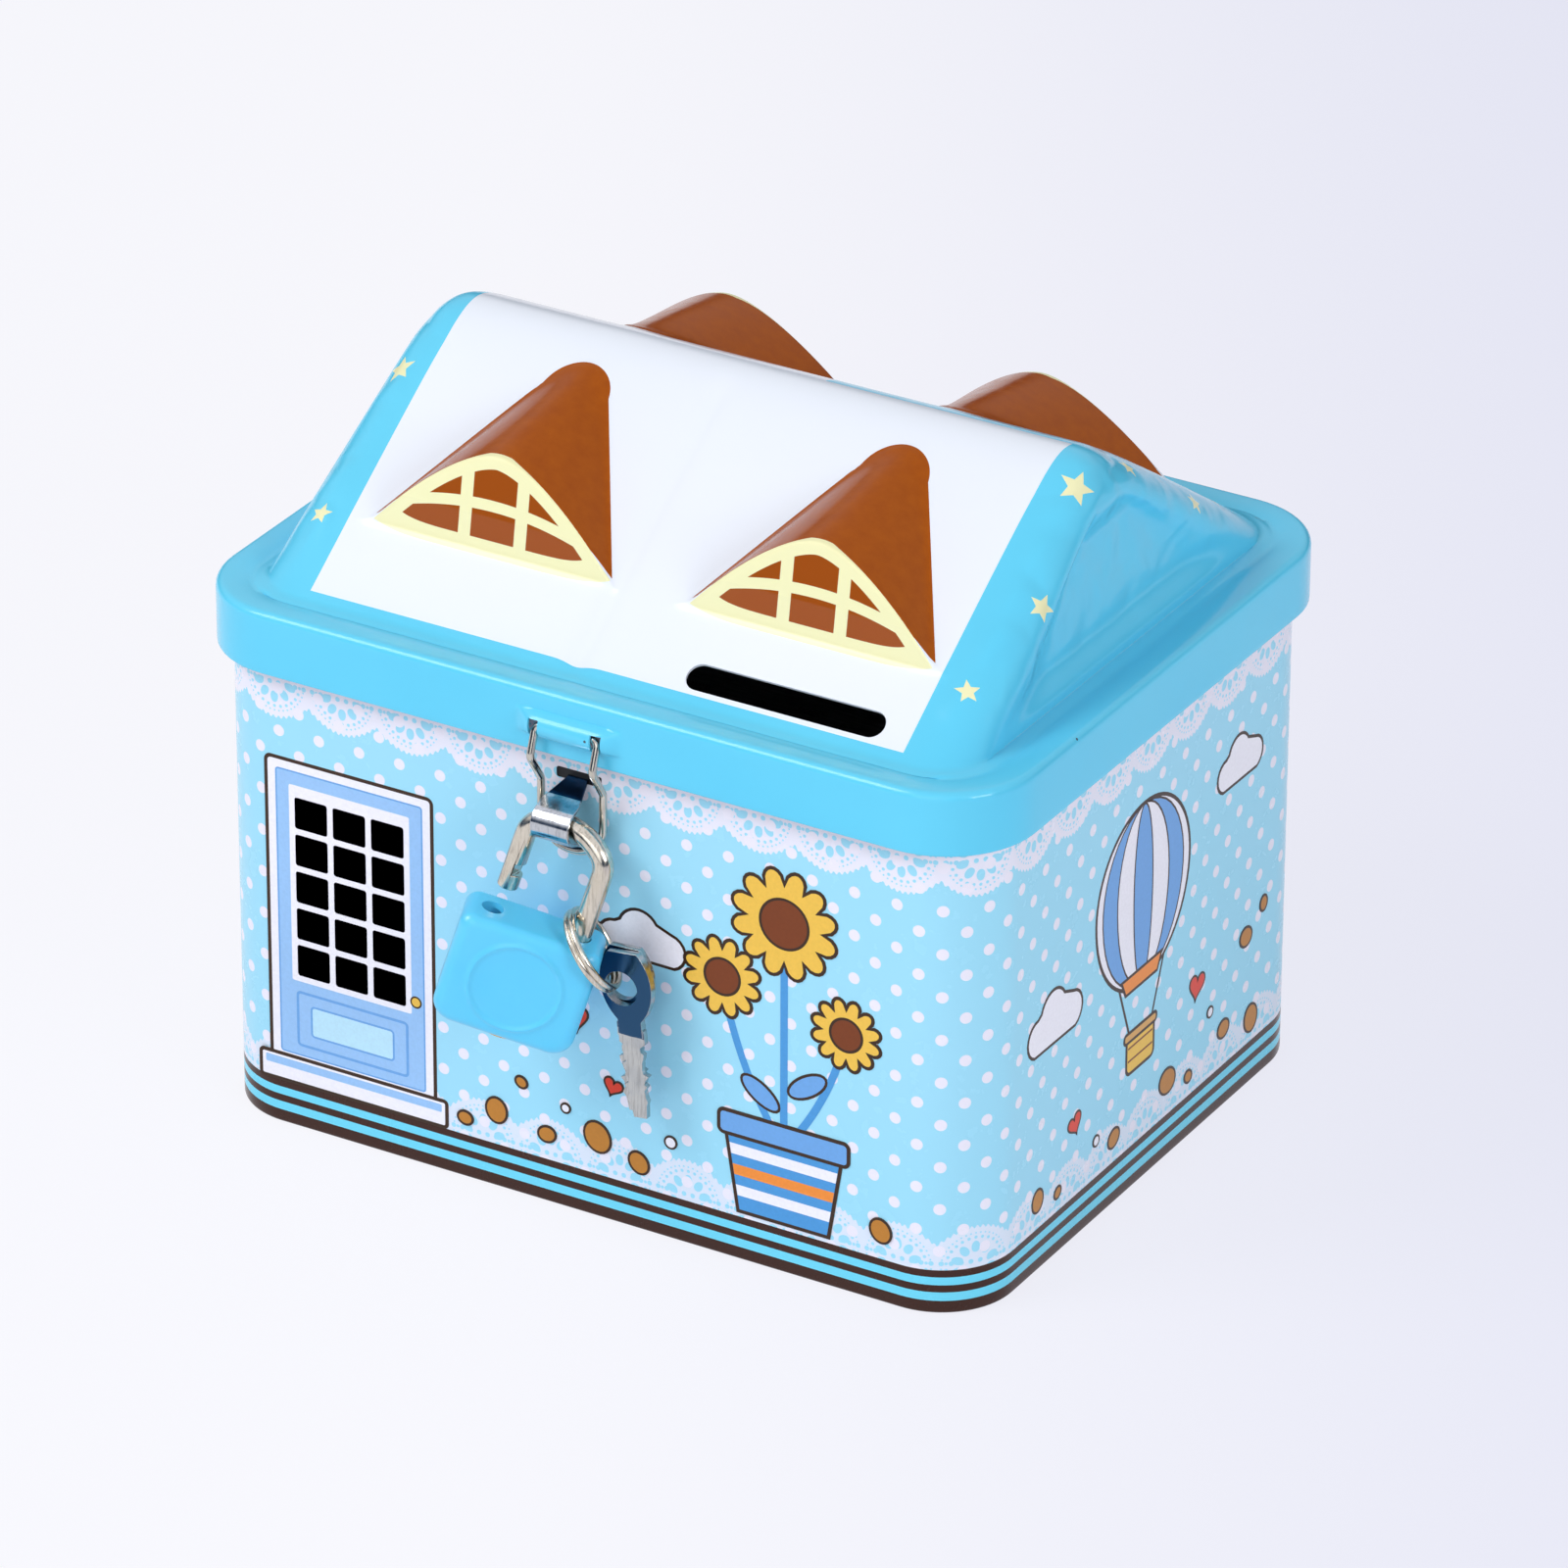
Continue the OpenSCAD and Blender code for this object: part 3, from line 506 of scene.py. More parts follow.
def lid_points(size):
    """The lid's outer skin. Each ring is a rounded rectangle; the front bulges at the wire tunnel, the
    roof's front and back rise to the dormers, and the gable ends sink to a soft triangle."""
    rings = lid_profile(size)
    hasp = JOINTS["hasp_play"]["pos_m"][0] / MM
    flat_half = size.wall_x + size.overhang - size.corner - size.overhang
    xs = np.concatenate([np.linspace(-flat_half, -46, 4), np.linspace(-45.2, -7.6, 76),
                         np.linspace(-7.1, 6.2, 26),
                         np.linspace(6.8, 45.2, 78), np.linspace(46, flat_half, 4)]) / flat_half
    turn = np.radians(np.linspace(0, 90, 14)[1:-1])
    end = np.linspace(-1, 1, 30)
    a, b, r, z, roof = (rings[:, k:k + 1] for k in range(5))
    sx, sy = a - r, b - r
    top = LID_FOOT + SKIRT
    foot = top + 0.1

    x_front = sx * xs[None]
    bulge = 1.75 ** 2 - ((z - LID_FOOT - 4.3) * 0.95) ** 2
    bulge = np.sqrt(np.maximum(bulge, 0)) * (1 - ease(4.9, 8.6, np.abs(x_front - hasp)))
    fold = 0.55 * np.exp(-((x_front + 4) / 1.6) ** 2) * ease(foot - 0.5, foot + 1.5, z) * ease(2, 8, b)
    y_plain = b + 0 * x_front
    lift = smooth_max(z + 0 * x_front, dormer_height(size, x_front, y_plain), 0.8)
    z_roof = np.where(roof == 1, lift, z + 0 * x_front)
    front = np.stack([x_front, -y_plain - bulge * (roof == 0), z_roof - fold * roof], -1)
    back = np.stack([x_front, y_plain, z_roof], -1)[:, ::-1]

    def corner(cx, cy, start):
        angle = radians(start) + turn[None]
        return np.stack([cx * sx + r * np.cos(angle), cy * sy + r * np.sin(angle), z + 0 * angle], -1)

    sink = 1.8 * ease(0, 0.38, 1 - np.abs(end))[None] * ease(foot + 0.8, foot + 4, z)
    sink = sink * (1 - ease(size.ridge - 11, size.ridge - 5.6, z)) * (roof == 1)
    right = np.stack([a - sink, sy * end[None], z + 0 * sink], -1)
    left = np.stack([-a + sink[:, ::-1], -sy * end[None], z + 0 * sink], -1)
    return np.concatenate([front, corner(1, -1, 270), right, corner(1, 1, 0), back, corner(-1, 1, 90), left,
                           corner(-1, -1, 180)], 1), len(xs), len(turn), len(end)


def lid_mesh(size):
    """Outer skin, inner skin a sheet's thickness inside it, and the edge and ridge that close them."""
    outer, n_front, n_turn, n_end = lid_points(size)
    step_u = np.roll(outer, -1, 1) - np.roll(outer, 1, 1)
    step_v = np.gradient(outer, axis=0)
    normal = unit(np.cross(step_u, step_v))
    inner = (outer - size.sheet * normal)[::2, ::2]
    inner[0, :, 2] = LID_FOOT
    rows, cols = outer.shape[:2]
    rows2, cols2 = inner.shape[:2]

    def skin(n, m, base, turned):
        quads = grid_quads(n, m)[2]
        return base + (quads[:, ::-1] if turned else quads)

    def cap(n, m, base, front_count, turn_count, end_count, turned):
        last = base + (n - 1) * m
        back_end = last + front_count + 2 * turn_count + end_count
        j = np.arange(front_count - 1)
        strip = np.stack([last + j, last + j + 1, back_end + front_count - 2 - j,
                          back_end + front_count - 1 - j], -1)
        right = np.arange(last + front_count - 1, back_end + 1)
        left = np.concatenate([np.arange(back_end + front_count - 1, last + m), [last]])
        fans = np.concatenate([np.stack([np.full(len(side) - 2, side[0]), side[1:-1], side[2:]], -1)
                               for side in (right, left)])
        return [faces[:, ::-1] if turned else faces for faces in (strip, fans)]

    base2 = rows * cols
    k = np.arange(cols2)
    k2 = (k + 1) % cols2
    strip, fans = cap(rows, cols, 0, n_front, n_turn, n_end, False)
    strip2, fans2 = cap(rows2, cols2, base2, (n_front + 1) // 2, n_turn // 2, n_end // 2, True)
    quads = np.concatenate([skin(rows, cols, 0, False), skin(rows2, cols2, base2, True),
                            np.stack([(2 * k + 2) % cols, 2 * k + 1, base2 + k, base2 + k2], -1), strip,
                            strip2])
    triangles = np.concatenate([np.stack([2 * k + 1, 2 * k, base2 + k], -1), fans, fans2])
    return np.concatenate([outer.reshape(-1, 3), inner.reshape(-1, 3)]), quads, triangles, base2


# ------------------------------------------------------------------ materials


def tin_waviness(tree, place):
    """Thin sheet is never quite flat: a slow swell of about 20 mm, and the fine pull of rolled tinplate."""
    swell = noise(tree, place, 0.05, 1.5, 0.4)
    grain = noise(tree, place, 1.6, 2.0)
    slow = bumped(tree, 0.25, 0.6, swell)
    return bumped(tree, 0.035, 0.1, grain, slow)


def lace_band(tree, run, drop, pitch):
    """Lace whose free edge swings between a cusp and a scallop's bottom as 1 - (2u)^2 over one pitch,
    with picots on it. Oval eyelets fan out in each scallop, with pinholes beyond them, and small eyelets
    run along the straight edge. drop is the distance from that edge. Returns the mask."""
    share = minus(tree, fraction(tree, over(tree, run, pitch)), 0.5)
    across = times(tree, share, pitch)
    bow = times_plus(tree, times(tree, share, share), -4 * 2.5, 3.7 + 2.5)
    picots = sine(tree, times(tree, share, 2 * pi * 13))
    masks = [less(tree, drop, times_plus(tree, picots, 0.2, bow))]
    fan = minus(tree, drop, 0.5)
    reach = length(tree, joined(tree, across, fan))
    angle = angle_of(tree, fan, across)
    for ring, count, long, wide in ((2.7, 5, 0.85, 0.62), (4.1, 13, 0.24, 0.24), (4.75, 21, 0.14, 0.14)):
        step = pi / count
        cell = fraction(tree, over(tree, angle, step))
        side = times(tree, times(tree, minus(tree, cell, 0.5), step), reach)
        radial = over(tree, minus(tree, reach, ring), long)
        away = length(tree, joined(tree, over(tree, side, wide), radial))
        masks.append(greater(tree, away, 1.0))
    knot = minus(tree, fraction(tree, over(tree, run, pitch / 8)), 0.5)
    away = length(tree, joined(tree, times(tree, knot, pitch / 8), minus(tree, drop, 1.0)))
    masks.append(greater(tree, away, 0.36))
    return both(tree, *masks)


def lithographed_wall(size, colours):
    """Lithographed tinplate: offset inks under a hard gloss varnish. It gives flat even colour with a
    thin clear shine, a pale blue ground with dots in rows offset by half, lace along both edges and four
    base stripes."""
    material, tree, shader = new_material("lithographed_wall_tinplate")
    place = add(tree, VECTOR, add(tree, "ShaderNodeUVMap", uv_map="print"), inputs={"Scale": 1.0},
                operation="SCALE")
    run, height, _ = axes(tree, place)
    shade = noise(tree, place, 0.02, 1.0)
    colour = ink_over(tree, linear(colours.sky), linear("#A6E2FA"), shade)
    for offset in (0.0, 0.5):
        cell = shift(tree, shrink(tree, place, (size.dot_pitch,) * 3), (offset, offset, 0))
        away = length(tree, offset_from(tree, cell_of(tree, cell), (0.5, 0.5, 0)))
        dot = less(tree, away, size.dot / size.dot_pitch)
        colour = ink_over(tree, colour, linear(colours.lace), dot)
    upper = minus(tree, LID_FOOT - 1.0, height)
    lower = minus(tree, height, BASE_BAND)
    for drop, strength in ((upper, 0.95), (lower, 0.75)):
        lace = times(tree, lace_band(tree, run, drop, size.scallop), strength)
        colour = ink_over(tree, colour, linear(colours.lace), lace)
    colour = ink_over(tree, colour, linear("#3B1C10"), less(tree, height, BASE_BAND))
    for low, high in ((2.0, 3.3), (4.4, 5.6)):
        line = both(tree, greater(tree, height, low), less(tree, height, high))
        colour = ink_over(tree, colour, linear("#72DDF8"), line)
    mm = object_mm(tree)
    wear = noise(tree, mm, 0.35, 4.0, 0.6)
    gloss = spread(tree, wear, 0.35, 0.7, 0.2, 0.3)
    finish_shader(shader, Base_Color=colour, Normal=tin_waviness(tree, mm), Roughness=gloss, **VARNISH)
    return material


def bare_tinplate():
    """Bare tinplate: cold-rolled steel with a bright tin coat. It is a soft silver with fine rolling
    lines."""
    material, tree, shader = new_material("bare_tinplate")
    mm = object_mm(tree)
    drawn = stretch(tree, mm, (0.12, 0.12, 3.0))
    lines = noise(tree, drawn, 1.4, 4.0)
    tone = spread(tree, lines, 0.3, 0.7, 0.0, 1.0)
    colour = ink_over(tree, linear("#B9BDC2"), linear("#D7DADD"), tone)
    gloss = spread(tree, lines, 0.3, 0.7, 0.26, 0.38)
    bump = bumped(tree, 0.06, 0.05, lines)
    finish_shader(shader, Base_Color=colour, Roughness=gloss, Normal=bump, Metallic=1.0)
    return material


def star_mask(tree, place, centre, out, size_mm, turn):
    """A five-pointed star on a tangent plane: with the angle folded to one point's half, the edge is a
    straight line. centre and out are in mm and the direction the star faces."""
    facing = Vector(out).to_track_quat("Z", "Y").to_euler()
    local = offset_from(tree, place, tuple(centre))
    local = add(tree, "ShaderNodeVectorRotate", local, inputs={"Rotation": tuple(facing)},
                rotation_type="EULER_XYZ", invert=True)
    x, y, _ = axes(tree, local)
    reach = length(tree, joined(tree, x, y))
    angle = angle_of(tree, y, x)
    folded = fraction(tree, over(tree, plus(tree, angle, turn), 2 * pi / 5))
    folded = times(tree, size_of(tree, minus(tree, folded, 0.5)), 2 * pi / 5)
    # the edge runs from the point (radius 1) to the notch (radius 0.45): a line in polar form
    notch = 0.45
    slant = atan2(1 - notch * cos(pi / 5), notch * sin(pi / 5))
    line = times(tree, reach, cosine(tree, minus(tree, folded, slant)))
    inside = less(tree, line, size_mm * cos(slant))
    near = less(tree, length(tree, local), size_mm + 3.0)
    return both(tree, inside, near)


def dormer_masks(tree, size, x, depth, z):
    """Masks of the hood and of the lattice round the panes. The hood narrows in a straight line to a
    round tip; the panes are the window's arch drawn in, less two uprights and one rail."""
    _, foot, front = dormer_places(size)
    side = minus(tree, size_of(tree, minus(tree, x, DORMER_MIDDLE)), DORMER_HALF_GAP)
    away = size_of(tree, side)
    # half width of the hood at a depth
    half = spread(tree, depth, TIP_DEPTH, front, TIP_HALF + 0.5, DORMER_HALF + 0.4, clamp=False)
    narrow = less(tree, away, half)
    behind = greater(tree, depth, TIP_DEPTH)
    inner = less(tree, depth, front - 0.75)
    tip = joined(tree, side, minus(tree, depth, 11.6))
    tip = less(tree, length(tree, tip), 5.3)
    hood = larger(tree, both(tree, narrow, behind, inner), tip)

    def arch(half_width, rise):
        share = over(tree, away, half_width)
        line = times_plus(tree, power(tree, share, DORMER_POWER), -rise, foot + rise)
        return less(tree, z, line)

    # the window is the steep face, and its cream edge laps a hair on to the slope below
    face = greater(tree, depth, front - WINDOW_TILT * DORMER_RISE - 0.9)

    def above(level, half_width, turned_up):
        """Above a foot line that turns up in a round corner at both ends."""
        share = power(tree, over(tree, away, half_width), 7.0)
        return greater(tree, z, times_plus(tree, share, turned_up, level))

    low = above(foot - 0.5, DORMER_HALF + 0.3, 1.0)
    frame_mask = both(tree, arch(DORMER_HALF + 0.2, DORMER_RISE + 0.25), face, low)
    panes = [arch(DORMER_HALF - 2.3, DORMER_RISE - 1.7), face, above(foot + 1.5, DORMER_HALF - 2.6, 1.8)]
    beside_upright = greater(tree, size_of(tree, minus(tree, away, 4.35)), 0.95)
    bow = times_plus(tree, power(tree, away, 2.0), 0.011, z)
    beside_rail = greater(tree, size_of(tree, minus(tree, bow, foot + 6.3)), 0.78)
    return hood, frame_mask, both(tree, *panes, beside_upright, beside_rail)


STARS = (  # x, y, height, size: on the right hips and ends; the left has its own
    (51.0, -5.3, 104.6, 2.6), (55.0, -20.4, 94.9, 2.0), (50.5, -33.4, 86.6, 1.7), (51.5, 9.0, 102.2, 1.7),
    (54.0, 24.0, 91.5, 1.7), (50.0, 34.5, 86.0, 1.7),
    (-50.4, -12.0, 99.5, 2.3), (-51.0, -33.0, 87.0, 1.7), (-55.0, 18.0, 95.0, 1.7), (-50.0, 34.0, 86.2, 2.0),
)


def enamelled_lid(size, colours):
    """Lithographed and varnished lid: an even sky blue with a white panel on both slopes, brown dormers
    with a cream lattice, and small cream stars. The varnish is glossier than on the wall and shows
    scuffs on its rims."""
    material, tree, shader = new_material("varnished_lid_tinplate")
    mm = object_mm(tree)
    x, y, z = axes(tree, mm)
    depth = size_of(tree, y)
    cloud = noise(tree, mm, 0.03, 2.0)
    colour = ink_over(tree, linear(colours.lid), linear("#6AD8F7"), cloud)
    # the sheet's print runs a little past the foot where the fold was pressed
    from_fold = size_of(tree, plus(tree, x, 4.0))
    reach = spread(tree, from_fold, 0.0, 4.0, 42.55, 42.4, **SMOOTH)
    # the front panel ends just behind the ridge and the rear one starts a little lower down
    off_ridge = size_of(tree, minus(tree, y, 4.0))
    panel = both(tree, less(tree, size_of(tree, x), 45.8), less(tree, depth, reach),
                 larger(tree, greater(tree, off_ridge, 2.0), less(tree, x, 8.0)))
    colour = ink_over(tree, colour, linear(colours.panel), panel)
    hood, lattice, panes = dormer_masks(tree, size, x, depth, z)
    grime = noise(tree, mm, 0.5, 5.0, 0.65)
    cocoa = ink_over(tree, linear(colours.cocoa), linear("#B35C0C"), grime)
    colour = ink_over(tree, colour, cocoa, hood)
    colour = ink_over(tree, colour, linear(colours.cream), lattice)
    colour = ink_over(tree, colour, linear("#9E4A02"), panes)
    for place_x, place_y, place_z, reach_mm in STARS:
        out = (np.sign(place_x) * 0.62, np.sign(place_y) * 0.5, 0.6)
        star = star_mask(tree, mm, (place_x, place_y, place_z), out, reach_mm, place_y)
        colour = ink_over(tree, colour, linear(colours.cream), star)
    # chips: the coat breaks off in specks along the rims
    chip = add(tree, "ShaderNodeTexVoronoi", mm, inputs={"Scale": 0.11, "Randomness": 1.0})
    speck = less(tree, chip.outputs["Distance"], 0.022)
    low = less(tree, z, 79.5)
    colour = ink_over(tree, colour, linear("#3F5560"), both(tree, speck, low))

    # pressing leaves soft dents where the hips were drawn
    pulled = noise(tree, mm, 0.16, 1.0, 0.4, 0.3)
    on_hip = spread(tree, size_of(tree, x), 46.5, 50.5, 0.0, 1.0, **SMOOTH)
    up_hip = spread(tree, z, 80.5, 86.0, 0.0, 1.0, **SMOOTH)
    creases = both(tree, pulled, on_hip, up_hip)
    crease_bump = bumped(tree, 0.6, 1.6, creases)
    wave = noise(tree, mm, 0.045, 2.0, 0.45)
    swell = bumped(tree, 0.5, 0.8, wave, crease_bump)
    fine = bumped(tree, 0.05, 0.12, grime, swell)
    gloss = spread(tree, grime, 0.35, 0.7, 0.16, 0.26)
    # the brown ink is drier and mirrors less of the white room
    finish_shader(shader, Base_Color=colour, Normal=fine, Roughness=gloss, IOR=1.42, Coat_Roughness=0.05,
                  Specular_IOR_Level=spread(tree, hood, 0.0, 1.0, 0.35, 0.1),
                  Coat_Weight=spread(tree, hood, 0.0, 1.0, 0.22, 0.08))
    return material


def printed_ink(name, hexadecimal):
    """One offset ink: even colour with a fine halftone mottle, under the same varnish as the wall."""
    material, tree, shader = new_material("ink_" + name)
    mm = object_mm(tree)
    mottle = noise(tree, mm, 2.2, 2.0)
    value = spread(tree, mottle, 0.3, 0.7, 0.97, 1.03)
    colour = add(tree, VECTOR, linear(hexadecimal)[:3], inputs={"Scale": value}, operation="SCALE")
    finish_shader(shader, Base_Color=colour, Normal=tin_waviness(tree, mm), Roughness=0.28, **VARNISH)
    return material


def reflection_faces_above(axis, level, least):
    """A mask for nickel_plate's painted reflection: faces turned to Y by at least the given cosine, whose
    Object coordinate on the axis is above the level in mm."""
    def mask(tree, mm):
        normal = axes(tree, add(tree, "ShaderNodeTexCoord").outputs["Normal"])[1]
        square = greater(tree, size_of(tree, normal), least)
        return both(tree, square, greater(tree, axes(tree, mm)[axis], level))
    return mask


def nickel_plate(name, low_hex, high_hex, rough, painted_reflection_mask=None, painted_reflection_hex="#2B4560"):
    """Nickel-plated steel: a warm bright metal with fine polishing marks that catch the light unevenly."""
    material, tree, shader = new_material(name)
    mm = object_mm(tree)
    drawn = stretch(tree, mm, (1.0, 1.0, 0.08))
    marks = noise(tree, drawn, 2.5, 5.0, 0.6)
    patches = noise(tree, mm, 0.3, 3.0)
    colour = ink_over(tree, linear(low_hex), linear(high_hex), patches)
    # near-black streaks along the marks
    dark = spread(tree, marks, 0.38, 0.52, 0.22, 0.0)
    colour = ink_over(tree, colour, linear("#3B342C"), dark)
    if painted_reflection_mask is not None:
        # painted reflection: a broad flat face is coloured dark blue for the blue tin in front of it that it
        # would mirror
        colour = ink_over(tree, colour, linear(painted_reflection_hex), painted_reflection_mask(tree, mm))
    gloss = spread(tree, marks, 0.3, 0.7, rough * 0.75, rough * 1.35)
    bump = bumped(tree, 0.12, 0.04, marks)
    finish_shader(shader, Base_Color=colour, Roughness=gloss, Normal=bump, Metallic=1.0)
    return material


def lock_enamel(colours):
    """Moulded blue plastic over the lock body: a soft satin gloss, faint mould grain and a slight glow
    of colour."""
    material, tree, shader = new_material("satin_blue_lock_plastic")
    mm = object_mm(tree)
    cloud = noise(tree, mm, 0.12, 2.0)
    colour = ink_over(tree, linear(colours.lock), linear("#64D5FD"), cloud)
    grain = noise(tree, mm, 3.0, 3.0)
    bump = bumped(tree, 0.05, 0.05, grain)
    finish_shader(shader, Base_Color=colour, Normal=bump,
                  Roughness=0.33, IOR=1.49, Coat_Weight=0.25, Coat_Roughness=0.12,
                  Subsurface_Weight=0.08, Subsurface_Scale=1.5 * MM)
    return material


def turned_brass():
    """Brass as cut on a lathe: yellow metal with fine tool rings."""
    material, tree, shader = new_material("turned_brass")
    mm = object_mm(tree)
    marks = noise(tree, stretch(tree, mm, (1.0, 1.0, 4.0)), 2.0, 3.0)
    colour = ink_over(tree, linear("#C79A45"), linear("#E0BE6C"), marks)
    gloss = spread(tree, marks, 0.3, 0.7, 0.22, 0.36)
    finish_shader(shader, Base_Color=colour, Roughness=gloss, Metallic=1.0)
    return material


def shared(name, maker, *args):
    """The material of that name, made on first use."""
    return bpy.data.materials.get(name) or maker(*args)


PLATINGS = {  # dark and light tone, roughness
    "nickel_wire": ("#B8B2A6", "#DDD9D0", 0.14),
    "plated_strap": ("#A9ADB5", "#D8DBE0", 0.12),
    "polished_shackle": ("#C9BFAE", "#E6DFD2", 0.17),
}


def plated(name):
    """One of the platings that several pieces share."""
    return shared(name, nickel_plate, name, *PLATINGS[name])


# ------------------------------------------------------------------ printed motifs

INKS = {
    "brown": "#3A2516", "gold": "#F2C44F", "orange": "#F5923A", "white": "#F6F5FD", "lilac": "#DDBDF0",
    "door_blue": "#9CC8F5", "mid_blue": "#6FA9E6", "deep_blue": "#4C9BDB", "red": "#E2402A",
    "pebble": "#C07F2E", "cocoa": "#7A3A14", "tan": "#DDA95E", "pale": "#BFE9FB", "black": "#16181C",
}


def ellipse(cx, cy, rx, ry, count=40, turn=0.0):
    """A closed ellipse, turned by an angle in radians."""
    a = np.linspace(0, 2 * pi, count, endpoint=False)
    x, y = rx * np.cos(a), ry * np.sin(a)
    return np.stack([cx + x * cos(turn) - y * sin(turn), cy + x * sin(turn) + y * cos(turn)], 1)


def box(x0, y0, x1, y1, r=0.0):
    """A closed rectangle with rounded corners."""
    if r == 0:
        return np.array([[x0, y0], [x1, y0], [x1, y1], [x0, y1]], float)
    return np.concatenate([arc(x0 + r, y0 + r, r, 180, 270, 6), arc(x1 - r, y0 + r, r, 270, 360, 6),
                           arc(x1 - r, y1 - r, r, 0, 90, 6), arc(x0 + r, y1 - r, r, 90, 180, 6)])


def petals(cx, cy, inner, outer, count):
    """A flower outline: the radius swings between inner and outer as |sin| of the petal angle."""
    a = np.linspace(0, 2 * pi, count * 8, endpoint=False)
    r = inner + (outer - inner) * np.abs(np.sin(a * count / 2)) ** 0.6
    return np.stack([cx + r * np.cos(a), cy + r * np.sin(a)], 1)


def heart(cx, cy, s, turn=0.0):
    """The common heart curve 16 sin^3 t, 13 cos t - 5 cos 2t - 2 cos 3t - cos 4t, scaled to half width
    s."""
    t = np.linspace(0, 2 * pi, 36, endpoint=False)[::-1]
    x = s * np.sin(t) ** 3
    y = s / 16 * (13 * np.cos(t) - 5 * np.cos(2 * t) - 2 * np.cos(3 * t) - np.cos(4 * t))
    return np.stack([cx + x * cos(turn) - y * sin(turn), cy + x * sin(turn) + y * cos(turn)], 1)


SUNK = -0.02  # the foot of each printed shape, inside the sheet, mm


class Print:
    """Flat shapes printed on one wall. Each is a closed wafer a few hundredths of a millimetre proud,
    and later shapes lie over earlier ones."""

    def __init__(self, name, to_wall):
        self.name, self.to_wall = name, to_wall
        self.points, self.faces, self.inks, self.names = [], [], [], []
        self.layer = 0

    def wafer(self, ink, loops):
        """Joins equal rings of points, given as (shape, height) pairs, into a closed band or plate."""
        base = sum(len(p) for p in self.points)
        n = len(loops[0][0])
        for shape, lift in loops:
            self.points.append(self.to_wall(shape[:, 0], shape[:, 1], np.full(n, lift)))
        if ink not in self.names:
            self.names.append(ink)
        k = np.arange(n)
        k2 = (k + 1) % n
        pairs = [(0, 1)] if len(loops) == 2 else [(0, 1), (1, 2), (2, 3), (3, 0)]
        faces = []
        for a, b in pairs:
            faces += np.stack([base + a * n + k, base + b * n + k, base + b * n + k2, base + a * n + k2],
                              1).tolist()
        if len(loops) == 2:
            faces += [(base + k).tolist(), (base + n + k[::-1]).tolist()]
        self.faces += faces
        self.inks += [self.names.index(ink)] * len(faces)

    def plate(self, ink, shape, top):
        """A plate of ink whose foot is sunk into the wall."""
        self.wafer(ink, [(shape, top), (shape, SUNK)])

    def fill(self, ink, shape, line=0.0, line_ink="brown"):
        """A plate of ink, with an outline of the given width drawn round it."""
        self.layer += 1
        self.plate(ink, shape, 0.014 + 0.004 * self.layer)
        if line:
            self.stroke(line_ink, shape, line)

    def stroke(self, ink, shape, width, closed=True):
        """A line of constant width: the shape moved both ways along its normals."""
        top = 0.016 + 0.004 * self.layer
        if not closed:
            ahead = np.gradient(shape, axis=0)
            normal = unit(np.stack([ahead[:, 1], -ahead[:, 0]], 1))
            ribbon = np.concatenate([shape + normal * width / 2, (shape - normal * width / 2)[::-1]])
            self.plate(ink, ribbon, top)
            return
        ahead, behind = np.roll(shape, -1, 0) - shape, shape - np.roll(shape, 1, 0)
        ahead = unit(ahead)
        mean = unit(ahead + unit(behind))
        normal = np.stack([mean[:, 1], -mean[:, 0]], 1)
        miter = 1 / np.maximum((mean * ahead).sum(1, keepdims=True), 0.5)
        wide, slim = shape + normal * miter * width / 2, shape - normal * miter * width / 2
        self.wafer(ink, [(wide, top), (wide, SUNK), (slim, SUNK), (slim, top)])

    def place(self):
        """Makes the object and lets it ride on the box."""
        mesh = bpy.data.meshes.new(self.name)
        mesh.from_pydata((np.concatenate(self.points) * MM).tolist(), [], self.faces)
        mesh.validate()
        made = piece(self.name, mesh, [shared("ink_" + n, printed_ink, n, INKS[n]) for n in self.names])
        mesh.polygons.foreach_set("material_index", np.array(self.inks, np.int32)[:len(mesh.polygons)])
        work = bmesh.new()
        work.from_mesh(mesh)
        bmesh.ops.recalc_face_normals(work, faces=work.faces)
        work.to_mesh(mesh)
        work.free()
        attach(made, "tin_body")
        return made


def wall_map(across, out, half):
    """Maps across and up, in mm, to the wall that faces out at the half size; lift stands out from it."""
    across, out = np.array([*across, 0.0]), np.array([*out, 0.0])
    return lambda u, v, lift: (u[:, None] * across + (half + lift)[:, None] * out
                               + v[:, None] * np.array([0.0, 0.0, 1.0]))


def hearts(art, *places):
    """Red hearts, each given by its middle, half width and turn."""
    for place in places:
        art.fill("red", heart(*place), 0.3)


def pebbles(art, spots):
    """Round brown pebbles with a dark outline, and small white bubbles where the size is negative."""
    for u, v, s in spots:
        if s > 0:
            art.fill("pebble", ellipse(u, v, s * 1.08, s * 0.92, 24, u), 0.35)
        else:
            art.fill("white", ellipse(u, v, -s, -s, 20), 0.3)


